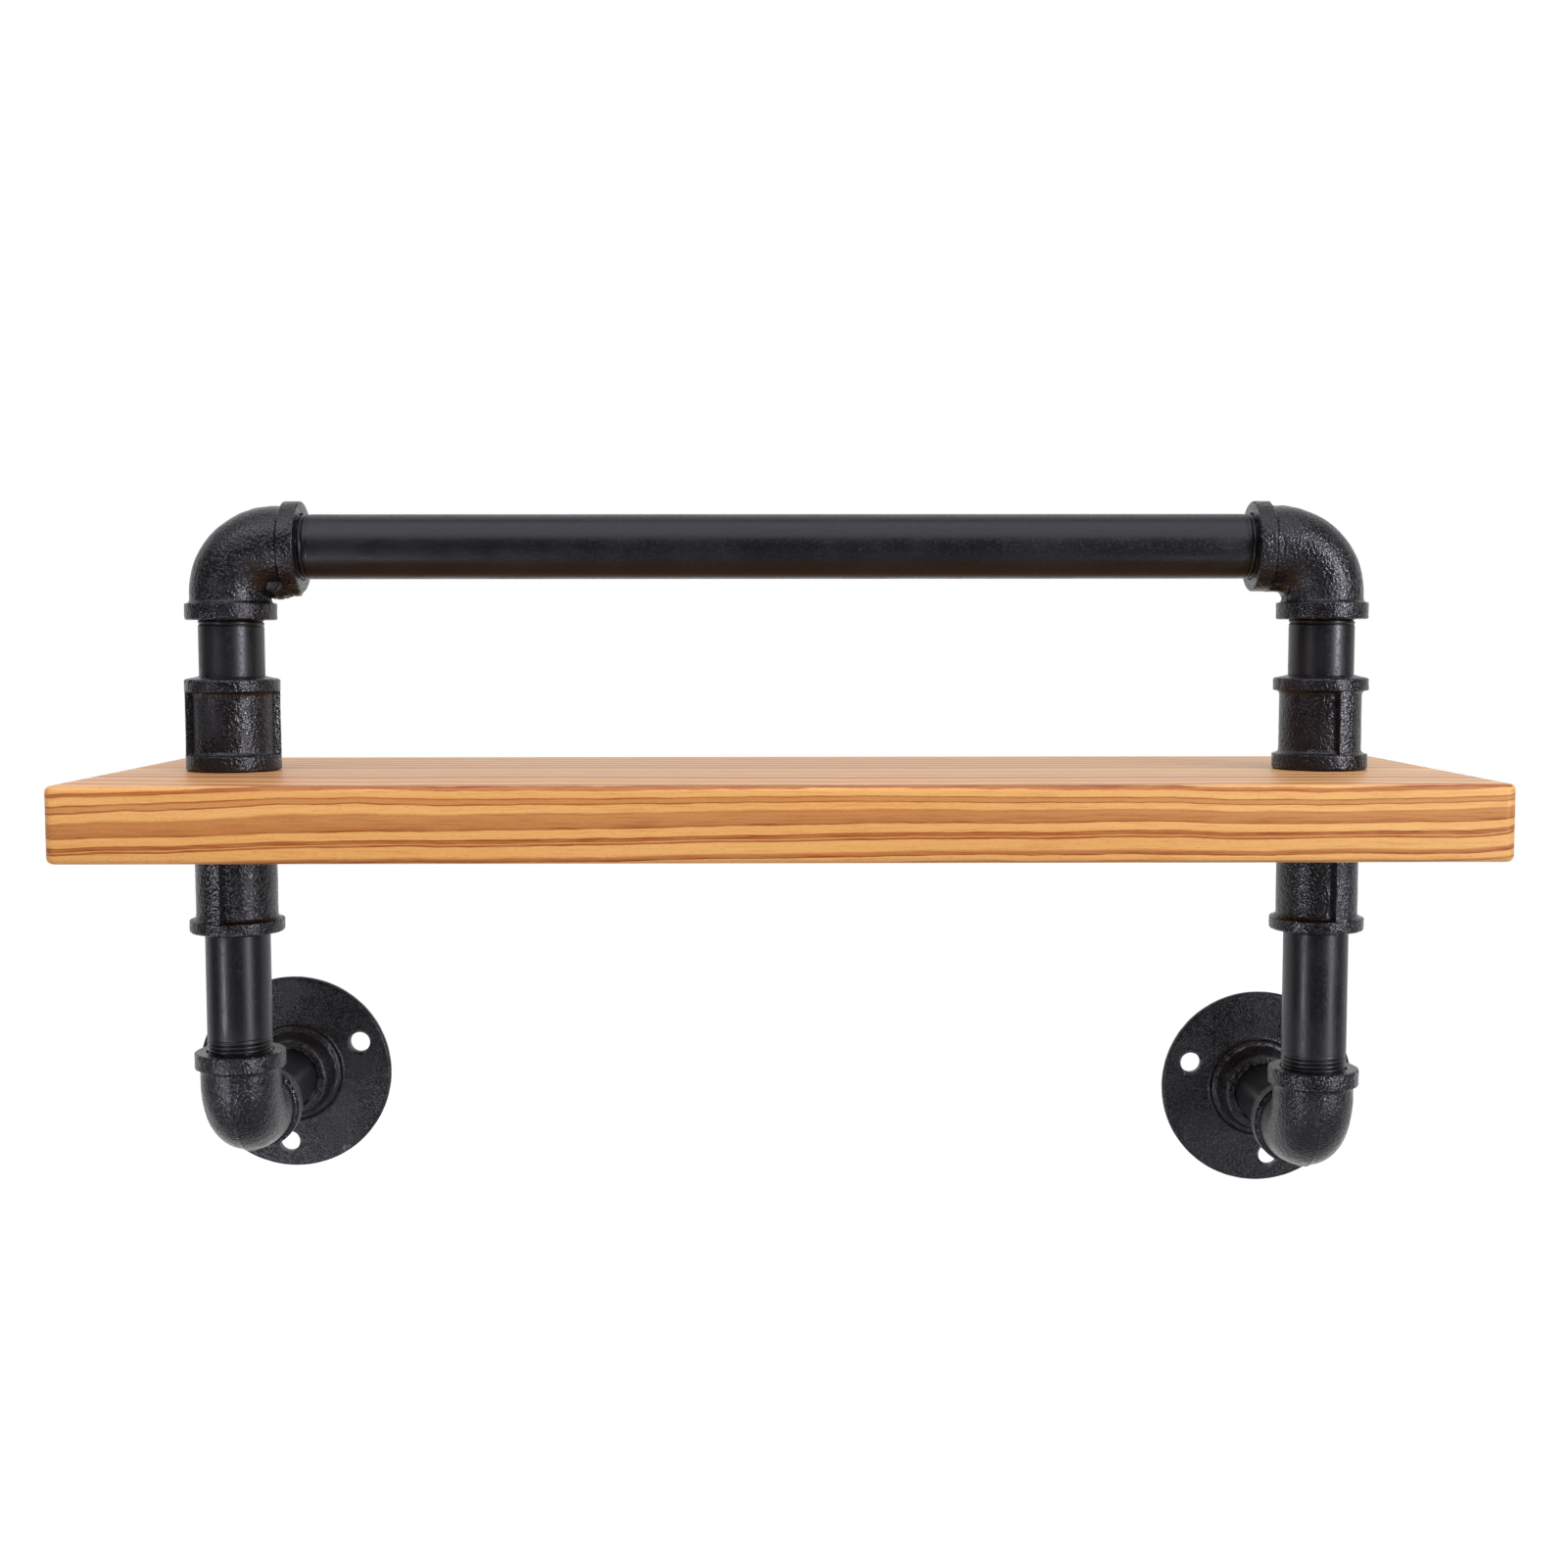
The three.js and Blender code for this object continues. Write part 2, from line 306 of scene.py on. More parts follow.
def closed(name: str, rings: Sequence[Ring], faces: Faces, place: Matrix) -> Mesh:
    """A closed mesh that faces outward.

    Args:
        name: The mesh's name.
        rings: Its points, ring by ring.
        faces: Its faces, by the numbers of their points.
        place: Where it stands.

    Returns:
        The mesh.
    """
    mesh = bpy.data.meshes.new(name)
    mesh.from_pydata([point for ring in rings for point in ring], [], faces)
    mesh.transform(place)
    if signed_volume(mesh) < 0:
        mesh.flip_normals()
    mesh.update()
    return mesh


def capped(name: str, rings: Sequence[Ring], place: Matrix) -> Mesh:
    """A closed mesh through rings of points, with a flat face over its first and last ring.

    Args:
        name: The mesh's name.
        rings: Rings with as many points each.
        place: Where it stands.

    Returns:
        The mesh.
    """
    around = len(rings[0])
    last = (len(rings) - 1) * around
    ends: Faces = [tuple(reversed(range(around))), tuple(range(last, last + around))]
    return closed(name, rings, ends + quads(len(rings) - 1, around, len(rings)), place)


@dataclass
class Skin:
    """Rings of points that become one closed mesh, with the relief and nicks that each takes."""

    name: str
    rings: list[Ring] = field(default_factory=list)
    shares: list[Span] = field(default_factory=list)

    def add(self, ring: Ring, relief: float = 0.0, edge: float = 0.0) -> None:
        """Adds a ring that takes these shares of the casting's relief and of its nicks."""
        self.rings.append(ring)
        self.shares.append((relief, edge))

    def mesh(self, place: Matrix, relief: Relief | None = None) -> Mesh:
        """The closed mesh, with the last ring joined to the first.

        Args:
            place: Where the piece stands.
            relief: The casting's unevenness, if it is cast.

        Returns:
            The mesh with its relief cut in.
        """
        around = len(self.rings[0])
        mesh = closed(self.name, self.rings, quads(len(self.rings), around, len(self.rings)), place)
        if relief is not None:
            normals = [vertex.normal.copy() for vertex in mesh.vertices]
            for vertex, normal in zip(mesh.vertices, normals):
                share, edge = self.shares[vertex.index // around]
                if share > 0:
                    vertex.co -= normal * (relief.depth(vertex.co, edge) * share)
            mesh.update()
        return mesh


def soften(mesh: Mesh, crease: float) -> None:
    """Shades a mesh smooth, but for edges sharper than the crease in degrees."""
    mesh.shade_smooth()
    mesh.set_sharp_from_angle(angle=math.radians(crease))


def stand(mesh: Mesh, crease: float = PLAIN_CREASE) -> Piece:
    """Puts a mesh in the scene, smooth but for its creases.

    Args:
        mesh: The mesh, whose name becomes the object's.
        crease: Angle in degrees above which an edge stays sharp.

    Returns:
        The new object.
    """
    soften(mesh, crease)
    piece = bpy.data.objects.new(mesh.name, mesh)
    bpy.context.scene.collection.objects.link(piece)
    return piece


def turned(name: str, profile: Profile, steps: int, place: Matrix) -> Piece:
    """A solid turned about its axis, as a tool.

    Args:
        name: Name of the object.
        profile: (radius, height) pairs from the bottom to the top.
        steps: Number of facets round.
        place: Where it stands.

    Returns:
        The object with flat ends.
    """
    angles = even_angles(steps)
    return stand(capped(name, [level_ring(angles, height, radius) for radius, height in profile], place))


class Joining(Enum):
    """How a tool changes a piece, by the boolean's name."""

    CUT = "DIFFERENCE"
    ADD = "UNION"


def work(piece: Piece, tools: Sequence[Piece], how: Joining, crease: float) -> None:
    """Cuts solids out of a piece, or joins them to it, and deletes them.

    Args:
        piece: The piece that is worked.
        tools: The solids to take away or add.
        how: Which of the two.
        crease: Angle in degrees above which an edge stays sharp.
    """
    for tool in tools:
        change = piece.modifiers.new("work", "BOOLEAN")
        change.operation = how.value
        change.solver = "EXACT"
        change.object = tool
    bpy.context.view_layer.update()
    whole = piece.evaluated_get(bpy.context.evaluated_depsgraph_get())
    result = bpy.data.meshes.new_from_object(whole)
    old = piece.data
    name = old.name
    piece.modifiers.clear()
    piece.data = result
    bpy.data.meshes.remove(old)
    result.name = name
    soften(result, crease)
    for tool in tools:
        shape = tool.data
        bpy.data.objects.remove(tool)
        bpy.data.meshes.remove(shape)


@dataclass
class Graph:
    """A node tree with short ways to add nodes and join them."""

    tree: bpy.types.NodeTree
    mix_inputs: tuple[int, int, int] = (0, 6, 7)
    mix_output: int = 2

    def add(self, kind: str, **settings: object) -> Node:
        """Adds a node.

        Args:
            kind: The node's type, without a leading "ShaderNode".
            settings: Properties to set on it.

        Returns:
            The node.
        """
        node = self.tree.nodes.new(kind if kind.startswith("Node") else "ShaderNode" + kind)
        for name, value in settings.items():
            setattr(node, name, value)
        return node

    def feed(self, socket: Socket, value: object) -> None:
        """Gives an input a link from an output socket, or a plain value.

        Args:
            socket: The input.
            value: An output socket, or the value itself.
        """
        if isinstance(value, Socket):
            self.tree.links.new(value, socket)
        else:
            socket.default_value = value

    def fill(self, node: Node, entries: dict[str, object]) -> Node:
        """Feeds a node's inputs.

        Args:
            node: The node.
            entries: Output sockets or plain values, by the input's name.

        Returns:
            The same node.
        """
        for name, value in entries.items():
            self.feed(node.inputs[name], value)
        return node

    def math(self, operation: str, *values: object, clamp: bool = False) -> Socket:
        """A sum of one to three values.

        Args:
            operation: Name of the operation.
            values: Sockets or numbers.
            clamp: Keeps the result from 0 to 1.

        Returns:
            The result.
        """
        node = self.add("Math", operation=operation, use_clamp=clamp)
        for socket, value in zip(node.inputs, values):
            self.feed(socket, value)
        return node.outputs[0]

    def axis(self, vector: object, name: str) -> Socket:
        """One axis of a vector, by its letter."""
        return self.fill(self.add("SeparateXYZ"), {"Vector": vector}).outputs[name]

    def drawn(self, place: object, scale: Axes) -> Socket:
        """A place scaled along each axis, so that noise on it is drawn out."""
        return self.fill(self.add("Mapping"), {"Vector": place, "Scale": scale}).outputs["Vector"]

    def remap(self, value: object, low: float, high: float, start: float = 0.0, end: float = 1.0) -> Socket:
        """A value moved from one span to another and held inside it.

        Args:
            value: Socket with the value.
            low: Value that gives the start.
            high: Value that gives the end.
            start: Result at the low value.
            end: Result at the high value.

        Returns:
            The result.
        """
        node = self.add("MapRange", interpolation_type="SMOOTHSTEP")
        entries = {"Value": value, "From Min": low, "From Max": high, "To Min": start, "To Max": end}
        return self.fill(node, entries).outputs["Result"]

    def mix(self, share: object, first: object, second: object) -> Socket:
        """A colour between two colours.

        Args:
            share: 0 for the first, 1 for the second.
            first: Colour or socket.
            second: Colour or socket.

        Returns:
            The colour.
        """
        node = self.add("Mix", data_type="RGBA")
        for number, value in zip(self.mix_inputs, (share, first, second)):
            self.feed(node.inputs[number], value)
        return node.outputs[self.mix_output]

    def noise(self, place: object, scale: object, detail: float = 2.0, rough: float = 0.5) -> Socket:
        """Soft noise from about 0.3 to 0.7.

        Args:
            place: Socket with the place.
            scale: Cells a metre.
            detail: Octaves.
            rough: Strength of each octave against the one before.

        Returns:
            The noise value.
        """
        entries = {"Vector": place, "Scale": scale, "Detail": detail, "Roughness": rough}
        return self.fill(self.add("TexNoise"), entries).outputs["Fac"]

    def ramp(self, value: object, stops: Sequence[Point]) -> Socket:
        """A grey value looked up between stops.

        Args:
            value: Socket from 0 to 1.
            stops: (place, grey) pairs in rising order.

        Returns:
            The grey value.
        """
        node = self.fill(self.add("ValToRGB"), {"Fac": value})
        elements = node.color_ramp.elements
        while len(elements) > 1:
            elements.remove(elements[-1])
        elements[0].position = stops[0][0]
        elements[0].color = (*[stops[0][1]] * 3, 1.0)
        for place, grey in stops[1:]:
            elements.new(place).color = (grey, grey, grey, 1.0)
        return node.outputs["Color"]

    def curve(self, value: object, points: Sequence[Point]) -> Socket:
        """A value looked up on a smooth curve through points.

        Args:
            value: Socket from 0 to 1.
            points: (place, value) pairs, both from 0 to 1, in rising order.

        Returns:
            The value.
        """
        node = self.fill(self.add("FloatCurve"), {"Value": value})
        line = node.mapping.curves[0]
        for mark, point in zip((line.points[0], line.points[-1]), (points[0], points[-1])):
            mark.location = point
        for point in points[1:-1]:
            line.points.new(*point)
        node.mapping.update()
        return node.outputs["Value"]

    def bump(self, height: object, depth: float, strength: float = 1.0) -> Socket:
        """A normal bent by a height.

        Args:
            height: Socket from 0 to 1.
            depth: Depth in metres between 0 and 1.
            strength: Share of the effect.

        Returns:
            The normal.
        """
        entries = {"Height": height, "Distance": depth, "Strength": strength}
        return self.fill(self.add("Bump"), entries).outputs["Normal"]


class Effect(Enum):
    """Surface effects that several finishes share, by the name of their node group."""

    GRAIN = "sand_cast_grain"
    WEAR = "edge_wear"
    MOTTLE = "paint_mottle"


class Effects:
    """Builds each shared effect once and places it in materials."""

    pebble: Span = (0.34, 0.66)
    pits: Change = (0.36, 0.5, 1.0, 0.0)
    pebble_detail: float = 1.0
    lump_cells: float = 0.4
    lump_detail: float = 0.0
    fine_cells: float = 2.6
    # Pointiness over which edges take the light grey, partly a painted highlight.
    edge: Span = (0.508, 0.57)
    patch: Span = (0.4, 0.62)
    patch_detail: float = 3.0
    cloud: Span = (0.32, 0.68)
    cloud_detail: float = 4.0
    speck_detail: float = 1.0
    chip_gain: float = 25.0

    def __init__(self) -> None:
        """Makes the three groups."""
        self.groups = {
            Effect.GRAIN: self.grain(),
            Effect.WEAR: self.wear(),
            Effect.MOTTLE: self.mottle(),
        }

    @staticmethod
    def group(effect: Effect, inputs: dict[str, float], outputs: Sequence[str]) -> tuple[Graph, Node, Node]:
        """An empty group with its sockets.

        Args:
            effect: The effect that it holds.
            inputs: Names and first values of the number inputs, after the place.
            outputs: Names of the number outputs.

        Returns:
            The graph, its input node and its output node.
        """
        tree = bpy.data.node_groups.new(effect.value, "ShaderNodeTree")
        tree.interface.new_socket("Place", in_out="INPUT", socket_type="NodeSocketVector")
        for name, value in inputs.items():
            socket = tree.interface.new_socket(name, in_out="INPUT", socket_type="NodeSocketFloat")
            socket.default_value = value
        for name in outputs:
            tree.interface.new_socket(name, in_out="OUTPUT", socket_type="NodeSocketFloat")
        graph = Graph(tree)
        return graph, graph.add("NodeGroupInput"), graph.add("NodeGroupOutput")

    def grain(self) -> bpy.types.NodeTree:
        """The pebbled skin of painted sand casting, with its height and its pits."""
        values = {"Cells": 1000.0, "Fine": 0.35, "Lumps": 0.8}
        graph, source, result = self.group(Effect.GRAIN, values, ("Height", "Pits"))
        place, cells = source.outputs["Place"], source.outputs["Cells"]
        pebble = graph.noise(place, cells, self.pebble_detail)
        height = graph.remap(pebble, *self.pebble)
        lump = graph.noise(place, graph.math("MULTIPLY", cells, self.lump_cells), self.lump_detail)
        height = graph.math("MULTIPLY_ADD", lump, source.outputs["Lumps"], height)
        fine = graph.noise(place, graph.math("MULTIPLY", cells, self.fine_cells))
        height = graph.math("MULTIPLY_ADD", fine, source.outputs["Fine"], height)
        graph.fill(result, {"Height": height, "Pits": graph.remap(pebble, *self.pits)})
        return graph.tree

    def wear(self) -> bpy.types.NodeTree:
        """Worn edges, broken up by noise; the mask also paints a highlight along every edge."""
        graph, source, result = self.group(Effect.WEAR, {"Reach": 0.5, "Broken": 420.0}, ("Mask",))
        edge = graph.remap(graph.add("NewGeometry").outputs["Pointiness"], *self.edge)
        broken = graph.noise(source.outputs["Place"], source.outputs["Broken"], self.patch_detail)
        both = graph.math("MULTIPLY", edge, graph.remap(broken, *self.patch))
        graph.fill(result, {"Mask": graph.math("MULTIPLY", both, source.outputs["Reach"], clamp=True)})
        return graph.tree

    def mottle(self) -> bpy.types.NodeTree:
        """Slow cloudy changes in a coat of paint, and a few small chips."""
        values = {"Cloud": 60.0, "Chips": 0.74, "Specks": 520.0}
        graph, source, result = self.group(Effect.MOTTLE, values, ("Cloud", "Chips"))
        place = source.outputs["Place"]
        cloud = graph.noise(place, source.outputs["Cloud"], self.cloud_detail)
        speck = graph.noise(place, source.outputs["Specks"], self.speck_detail)
        above = graph.math("SUBTRACT", speck, source.outputs["Chips"])
        chips = graph.math("MULTIPLY", above, self.chip_gain, clamp=True)
        graph.fill(result, {"Cloud": graph.remap(cloud, *self.cloud), "Chips": chips})
        return graph.tree

    def place(self, graph: Graph, effect: Effect, where: object, **values: float) -> Node:
        """Adds an effect to a material.

        Args:
            graph: The material's graph.
            effect: Which effect.
            where: Socket with the place on the surface.
            values: The effect's own values, by the input's name.

        Returns:
            The group node.
        """
        node = graph.add("Group", node_tree=self.groups[effect])
        return graph.fill(node, {"Place": where, **values})


def new_material(name: str) -> tuple[Material, Graph, Node, Socket]:
    """A material with its shader and a place on the piece.

    Args:
        name: The material's name.

    Returns:
        The material, its graph, its shader node and the socket with the place on the piece.
    """
    material = bpy.data.materials.new(name)
    material.use_nodes = True
    graph = Graph(material.node_tree)
    shader = material.node_tree.nodes["Principled BSDF"]
    return material, graph, shader, graph.add("TexCoord").outputs["Object"]


@dataclass(frozen=True)
class PaintFinish:
    """Black paint on iron: its colours, gloss and grain."""

    name: str
    deep: Colour
    worn: Colour
    # Light grey of worn edges and chips; along edges it is also a painted highlight.
    rubbed_and_highlight: Colour
    gloss: float
    roughness: tuple[float, float]
    cells: float
    fine: float
    depth: float
    wear: float
    cloud: float
    chips: float
    specks: float = 520.0
    fleck: float = 1.0
    sheen: Colour = (0.88, 0.88, 1.0, 1.0)
    pit_dull: float = 0.12
    chip_dull: float = 0.2

    def build(self, effects: Effects) -> Material:
        """Makes the material.

        Args:
            effects: The shared effects.

        Returns:
            The material.
        """
        material, graph, shader, place = new_material(self.name)
        grain = effects.place(graph, Effect.GRAIN, place, Cells=self.cells, Fine=self.fine)
        spots = {"Cloud": self.cloud, "Chips": self.chips, "Specks": self.specks}
        mottle = effects.place(graph, Effect.MOTTLE, place, **spots)
        wear = effects.place(graph, Effect.WEAR, place, Reach=self.wear)
        cloudy = graph.mix(mottle.outputs["Cloud"], self.deep, self.worn)
        flecks = graph.math("MULTIPLY", mottle.outputs["Chips"], self.fleck)
        # Worn edges and chips mix in the light grey, which along edges is also a painted highlight.
        chips_and_edge_highlight = graph.math("MAXIMUM", wear.outputs["Mask"], flecks)
        dull = graph.remap(mottle.outputs["Cloud"], 0.0, 1.0, *self.roughness)
        pitted = graph.math("MULTIPLY_ADD", grain.outputs["Pits"], self.pit_dull, dull)
        looks = {
            "Base Color": graph.mix(chips_and_edge_highlight, cloudy, self.rubbed_and_highlight),
            "Roughness": graph.math("MULTIPLY_ADD", chips_and_edge_highlight, self.chip_dull, pitted, clamp=True),
            "Specular IOR Level": self.gloss,
            "Specular Tint": self.sheen,
            "Normal": graph.bump(grain.outputs["Height"], self.depth),
        }
        graph.fill(shader, looks)
        return material


CASTING = PaintFinish(
    name="black_casting_paint",
    deep=srgb(11, 10, 14),
    worn=srgb(21, 19, 24),
    rubbed_and_highlight=srgb(88, 86, 91),
    gloss=0.44,
    roughness=(0.22, 0.30),
    cells=860.0,
    fine=0.25,
    depth=0.00015,
    wear=0.3,
    cloud=70.0,
    chips=0.80,
)
FLANGE = PaintFinish(
    name="matte_flange_paint",
    deep=srgb(12, 11, 15),
    worn=srgb(23, 22, 26),
    rubbed_and_highlight=srgb(112, 111, 116),
    gloss=0.26,
    roughness=(0.22, 0.32),
    cells=1300.0,
    fine=0.5,
    depth=0.00006,
    # Full strength here: the light grey edges paint the highlights along the flange's rim, shoulder and hub.
    wear=1.0,
    cloud=45.0,
    chips=0.60,
    specks=2600.0,
    fleck=0.6,
)
PIPE = PaintFinish(
    name="satin_pipe_paint",
    deep=srgb(14, 13, 17),
    worn=srgb(21, 20, 24),
    rubbed_and_highlight=srgb(110, 108, 106),
    gloss=0.40,
    roughness=(0.30, 0.37),
    cells=900.0,
    fine=0.3,
    depth=0.000006,
    wear=0.12,
    cloud=40.0,
    chips=0.815,
)


@dataclass(frozen=True)
class Band:
    """One band of late wood, by its place below the top of the front edge in metres."""

    start: float
    end: float
    fade: float
    top_line: float
    fill: float
    foot_fill: float
    foot_line: float
    line: float = 0.0005

    def stops(self, span: Callable[[float], float]) -> list[tuple[float, float]]:
        """Its stops on a ramp.

        Args:
            span: Turns a depth in metres into a place on the ramp.

        Returns:
            (place, darkness) pairs in rising order.
        """
        return [
            (span(self.start - self.fade), 0.0),
            (span(self.start), self.top_line),
            (span(self.start + self.line), self.fill),
            (span(self.end - self.line), self.foot_fill),
            (span(self.end), self.foot_line),
            (span(self.end + self.line / 2), 0.0),
        ]


@dataclass(frozen=True)
class Fibre:
    """Noise drawn out by a scale along each of the board's axes."""

    scale: Axes
    cells: float
    detail: float
    rough: float = 0.5

    def noise(self, graph: Graph, place: object) -> Socket:
        """The noise at a place on the board."""
        return graph.noise(graph.drawn(place, self.scale), self.cells, self.detail, self.rough)


@dataclass(frozen=True)
class PineFinish:
    """Clear varnished pine, sawn so that its year rings run the length of the board."""

    name: str = "varnished_pine"
    early: Colour = srgb(229, 166, 97)
    early_pale: Colour = srgb(242, 187, 119)
    late: Colour = srgb(154, 70, 20)
    # Paler colour for upward faces: a painted reflection of the bright backdrop in the varnish.
    painted_top_sheen: Colour = srgb(206, 168, 132)
    fibre: Colour = srgb(205, 134, 68)
    pore: Colour = srgb(192, 118, 54)
    tone: Fibre = Fibre((0.035, 1.0, 1.0), 110.0, 2.0)
    streak: Fibre = Fibre((0.035, 1.0, 1.0), 1300.0, 4.0, 0.65)
    dash: Fibre = Fibre((0.22, 1.0, 1.0), 2000.0, 3.0, 0.7)
    ripple: Fibre = Fibre((1.0, 0.5, 1.5), 28.0, 3.0)
    ragged: Fibre = Fibre((0.12, 1.0, 1.0), 700.0, 2.0)
    ripple_rise: float = 0.0022
    ragged_rise: float = 0.0006
    # Right end painted paler: painted light from the lamps on the right.
    painted_light_right_end: Change = (0.62, 1.0, 0.0, 0.6)
    pale_tone: Change = (0.35, 0.65, 0.0, 0.6)
    combing: Change = (0.46, 0.70, 0.0, 0.55)
    pricking: Change = (0.54, 0.72, 0.0, 0.5)
    speckling: Change = (0.30, 0.46, 0.5, 0.0)
    ring_break: Change = (0.32, 0.68, 1.2, 0.68)
    top_rings: Change = (0.5, 0.95, 1.0, 1.2)
    # How much of the painted reflection upward faces take.
    top_sheen_share: Change = (0.8, 0.98, 0.0, 0.26)
    roughness: Change = (0.35, 0.7, 0.42, 0.56)
    gloss: float = 0.3
    coat: float = 0.18
    coat_roughness: float = 0.3
    ring_height: float = 0.5
    grain_depth: float = 0.00006
    grain_strength: float = 0.6
    pith_forward: float = 0.040
    pith_above: float = 0.200
    ramp_from: float = -0.003
    ramp_middle: float = 0.0155
    ramp_to: float = 0.033
    ring_width: float = 0.0094
    far_ring: tuple[Point, ...] = ((0.0, 0.0), (0.45, 0.08), (0.78, 0.6), (0.94, 0.85), (1.0, 0.0))
    upper_bands: tuple[Band, ...] = (
        Band(0.0004, 0.0016, 0.0004, 0.85, 0.75, 0.75, 0.9, 0.0003),
        Band(0.0046, 0.0066, 0.0003, 0.95, 0.42, 0.42, 1.0, 0.0005),
        Band(0.0096, 0.0141, 0.0007, 0.62, 0.52, 0.68, 0.95, 0.0006),
    )
    lower_bands: tuple[Band, ...] = (
        Band(0.0176, 0.0189, 0.0004, 0.95, 0.8, 0.78, 0.95, 0.0005),
        Band(0.0195, 0.0201, 0.0003, 0.85, 0.8, 0.85, 0.95, 0.0003),
        Band(0.0248, 0.0263, 0.0007, 0.55, 0.68, 0.85, 1.0, 0.0004),
        Band(0.0287, 0.0295, 0.0004, 0.4, 0.5, 0.6, 0.7, 0.0003),
    )
    wave_span: float = 0.008
    lower_from: Span = (0.004, 0.019)
    upper_course: tuple[Point, ...] = (
        (0.0, -3.5), (0.04, -2.2), (0.10, -1.0), (0.18, 0.2), (0.33, -0.3), (0.48, 0.35),
        (0.70, 0.0), (0.82, -0.7), (0.92, -0.6), (1.0, 0.5),
    )
    lower_course: tuple[Point, ...] = (
        (0.0, -6.0), (0.05, -5.3), (0.10, -4.8), (0.18, -3.3), (0.33, -2.9), (0.48, -1.0),
        (0.70, 0.0), (0.82, -0.1), (0.95, 0.4), (1.0, 1.9),
    )

    def height_below_top(self, graph: Graph, place: object, board: "Board") -> Socket:
        """How far a place lies below the top of the front edge, counted across the year rings.

        Args:
            graph: The material's graph.
            place: Socket with the place on the piece.
            board: The board, for its corners.

        Returns:
            The depth in metres.
        """
        out = graph.math("SUBTRACT", graph.axis(place, "Y"), board.low.y - self.pith_forward)
        down = graph.math("SUBTRACT", board.high.z + self.pith_above, graph.axis(place, "Z"))
        squares = graph.math("ADD", graph.math("POWER", out, 2.0), graph.math("POWER", down, 2.0))
        first = math.hypot(self.pith_forward, self.pith_above)
        past = graph.math("SUBTRACT", graph.math("SQRT", squares), first)
        depth = graph.math("MULTIPLY", past, first / self.pith_above)
        along = self.share_along(graph, place, board)

        def course(points: Sequence[Point]) -> Socket:
            """The rise of the rings along the board, in metres."""
            scaled = [(share, 0.5 + rise * MILLIMETRE / (2 * self.wave_span)) for share, rise in points]
            curve = graph.curve(along, scaled)
            return graph.math("MULTIPLY", graph.math("SUBTRACT", curve, 0.5), 2 * self.wave_span)

        upper, lower = course(self.upper_course), course(self.lower_course)
        deep = graph.remap(depth, *self.lower_from)
        rise = graph.math("ADD", upper, graph.math("MULTIPLY", graph.math("SUBTRACT", lower, upper), deep))
        for fibre, height in ((self.ripple, self.ripple_rise), (self.ragged, self.ragged_rise)):
            swing = graph.math("SUBTRACT", fibre.noise(graph, place), 0.5)
            rise = graph.math("MULTIPLY_ADD", swing, height, rise)
        return graph.math("ADD", depth, rise)

    @staticmethod
    def share_along(graph: Graph, place: object, board: "Board") -> Socket:
        """How far along the board a place lies, from 0 at the left end to 1 at the right one."""
        past = graph.math("SUBTRACT", graph.axis(place, "X"), board.low.x)
        return graph.math("DIVIDE", past, board.high.x - board.low.x)

    def late_wood(self, graph: Graph, depth: object) -> Socket:
        """How dark the late wood is at a depth below the top of the front edge.

        Args:
            graph: The material's graph.
            depth: Socket with the depth in metres.

        Returns:
            The darkness from 0 to 1.
        """
        turns = graph.math("DIVIDE", graph.math("SUBTRACT", depth, self.ramp_to), self.ring_width)
        beyond = graph.math("GREATER_THAN", turns, 0.0)
        darkest = graph.math("MULTIPLY", graph.ramp(graph.math("FRACT", turns), self.far_ring), beyond)
        parts = (
            (self.upper_bands, self.ramp_from, self.ramp_middle),
            (self.lower_bands, self.ramp_middle, self.ramp_to),
        )
        for bands, low, high in parts:
            span = high - low
            share = graph.math("DIVIDE", graph.math("SUBTRACT", depth, low), span)
            stops = [stop for band in bands for stop in band.stops(lambda deep: (deep - low) / span)]
            darkest = graph.math("MAXIMUM", darkest, graph.ramp(share, stops))
        return darkest

    def colour(self, graph: Graph, place: object, board: "Board", rings: Socket, streak: Socket) -> Socket:
        """The wood's colour, with a painted reflection on its top and painted light on its right end.

        Args:
            graph: The material's graph.
            place: Socket with the place on the piece.
            board: The board that it covers.
            rings: How dark the late wood is.
            streak: The fine streaks' noise.

        Returns:
            The colour.
        """
        dash = self.dash.noise(graph, place)
        # Paler towards the right end as painted light, with random tone on top of it.
        pale = graph.remap(self.share_along(graph, place, board), *self.painted_light_right_end)
        tone = graph.remap(self.tone.noise(graph, place), *self.pale_tone)
        cloudy = graph.math("ADD", tone, pale, clamp=True)
        wood = graph.mix(cloudy, self.early, self.early_pale)
        wood = graph.mix(graph.remap(streak, *self.combing), wood, self.fibre)
        wood = graph.mix(graph.remap(dash, *self.pricking), wood, self.pore)
        wood = graph.mix(graph.remap(dash, *self.speckling), wood, self.early_pale)
        upward = graph.axis(graph.add("TexCoord").outputs["Normal"], "Z")
        broken = graph.math("MULTIPLY", rings, graph.remap(streak, *self.ring_break))
        broken = graph.math("MULTIPLY", broken, graph.remap(upward, *self.top_rings))
        wood = graph.mix(graph.math("MINIMUM", broken, 1.0), wood, self.late)
        # Upward faces painted paler: a painted reflection in the varnish.
        return graph.mix(graph.remap(upward, *self.top_sheen_share), wood, self.painted_top_sheen)

    def build(self, board: "Board") -> Material:
        """Makes the material.

        Args:
            board: The board that it covers.

        Returns:
            The material.
        """
        material, graph, shader, place = new_material(self.name)
        rings = self.late_wood(graph, self.height_below_top(graph, place, board))
        streak = self.streak.noise(graph, place)
        height = graph.math("MULTIPLY_ADD", rings, self.ring_height, streak)
        looks = {
            "Base Color": self.colour(graph, place, board, rings, streak),
            "Roughness": graph.remap(streak, *self.roughness),
            "Specular IOR Level": self.gloss,
            "Coat Weight": self.coat,
            "Coat Roughness": self.coat_roughness,
            "Normal": graph.bump(height, self.grain_depth, self.grain_strength),
        }
        graph.fill(shader, looks)
        return material


class Side(Enum):
    """The two legs."""

    LEFT = "left"
    RIGHT = "right"


@dataclass(frozen=True)
class Finishes:
    """The built materials."""

    casting: Material
    flange: Material
    pipe: Material


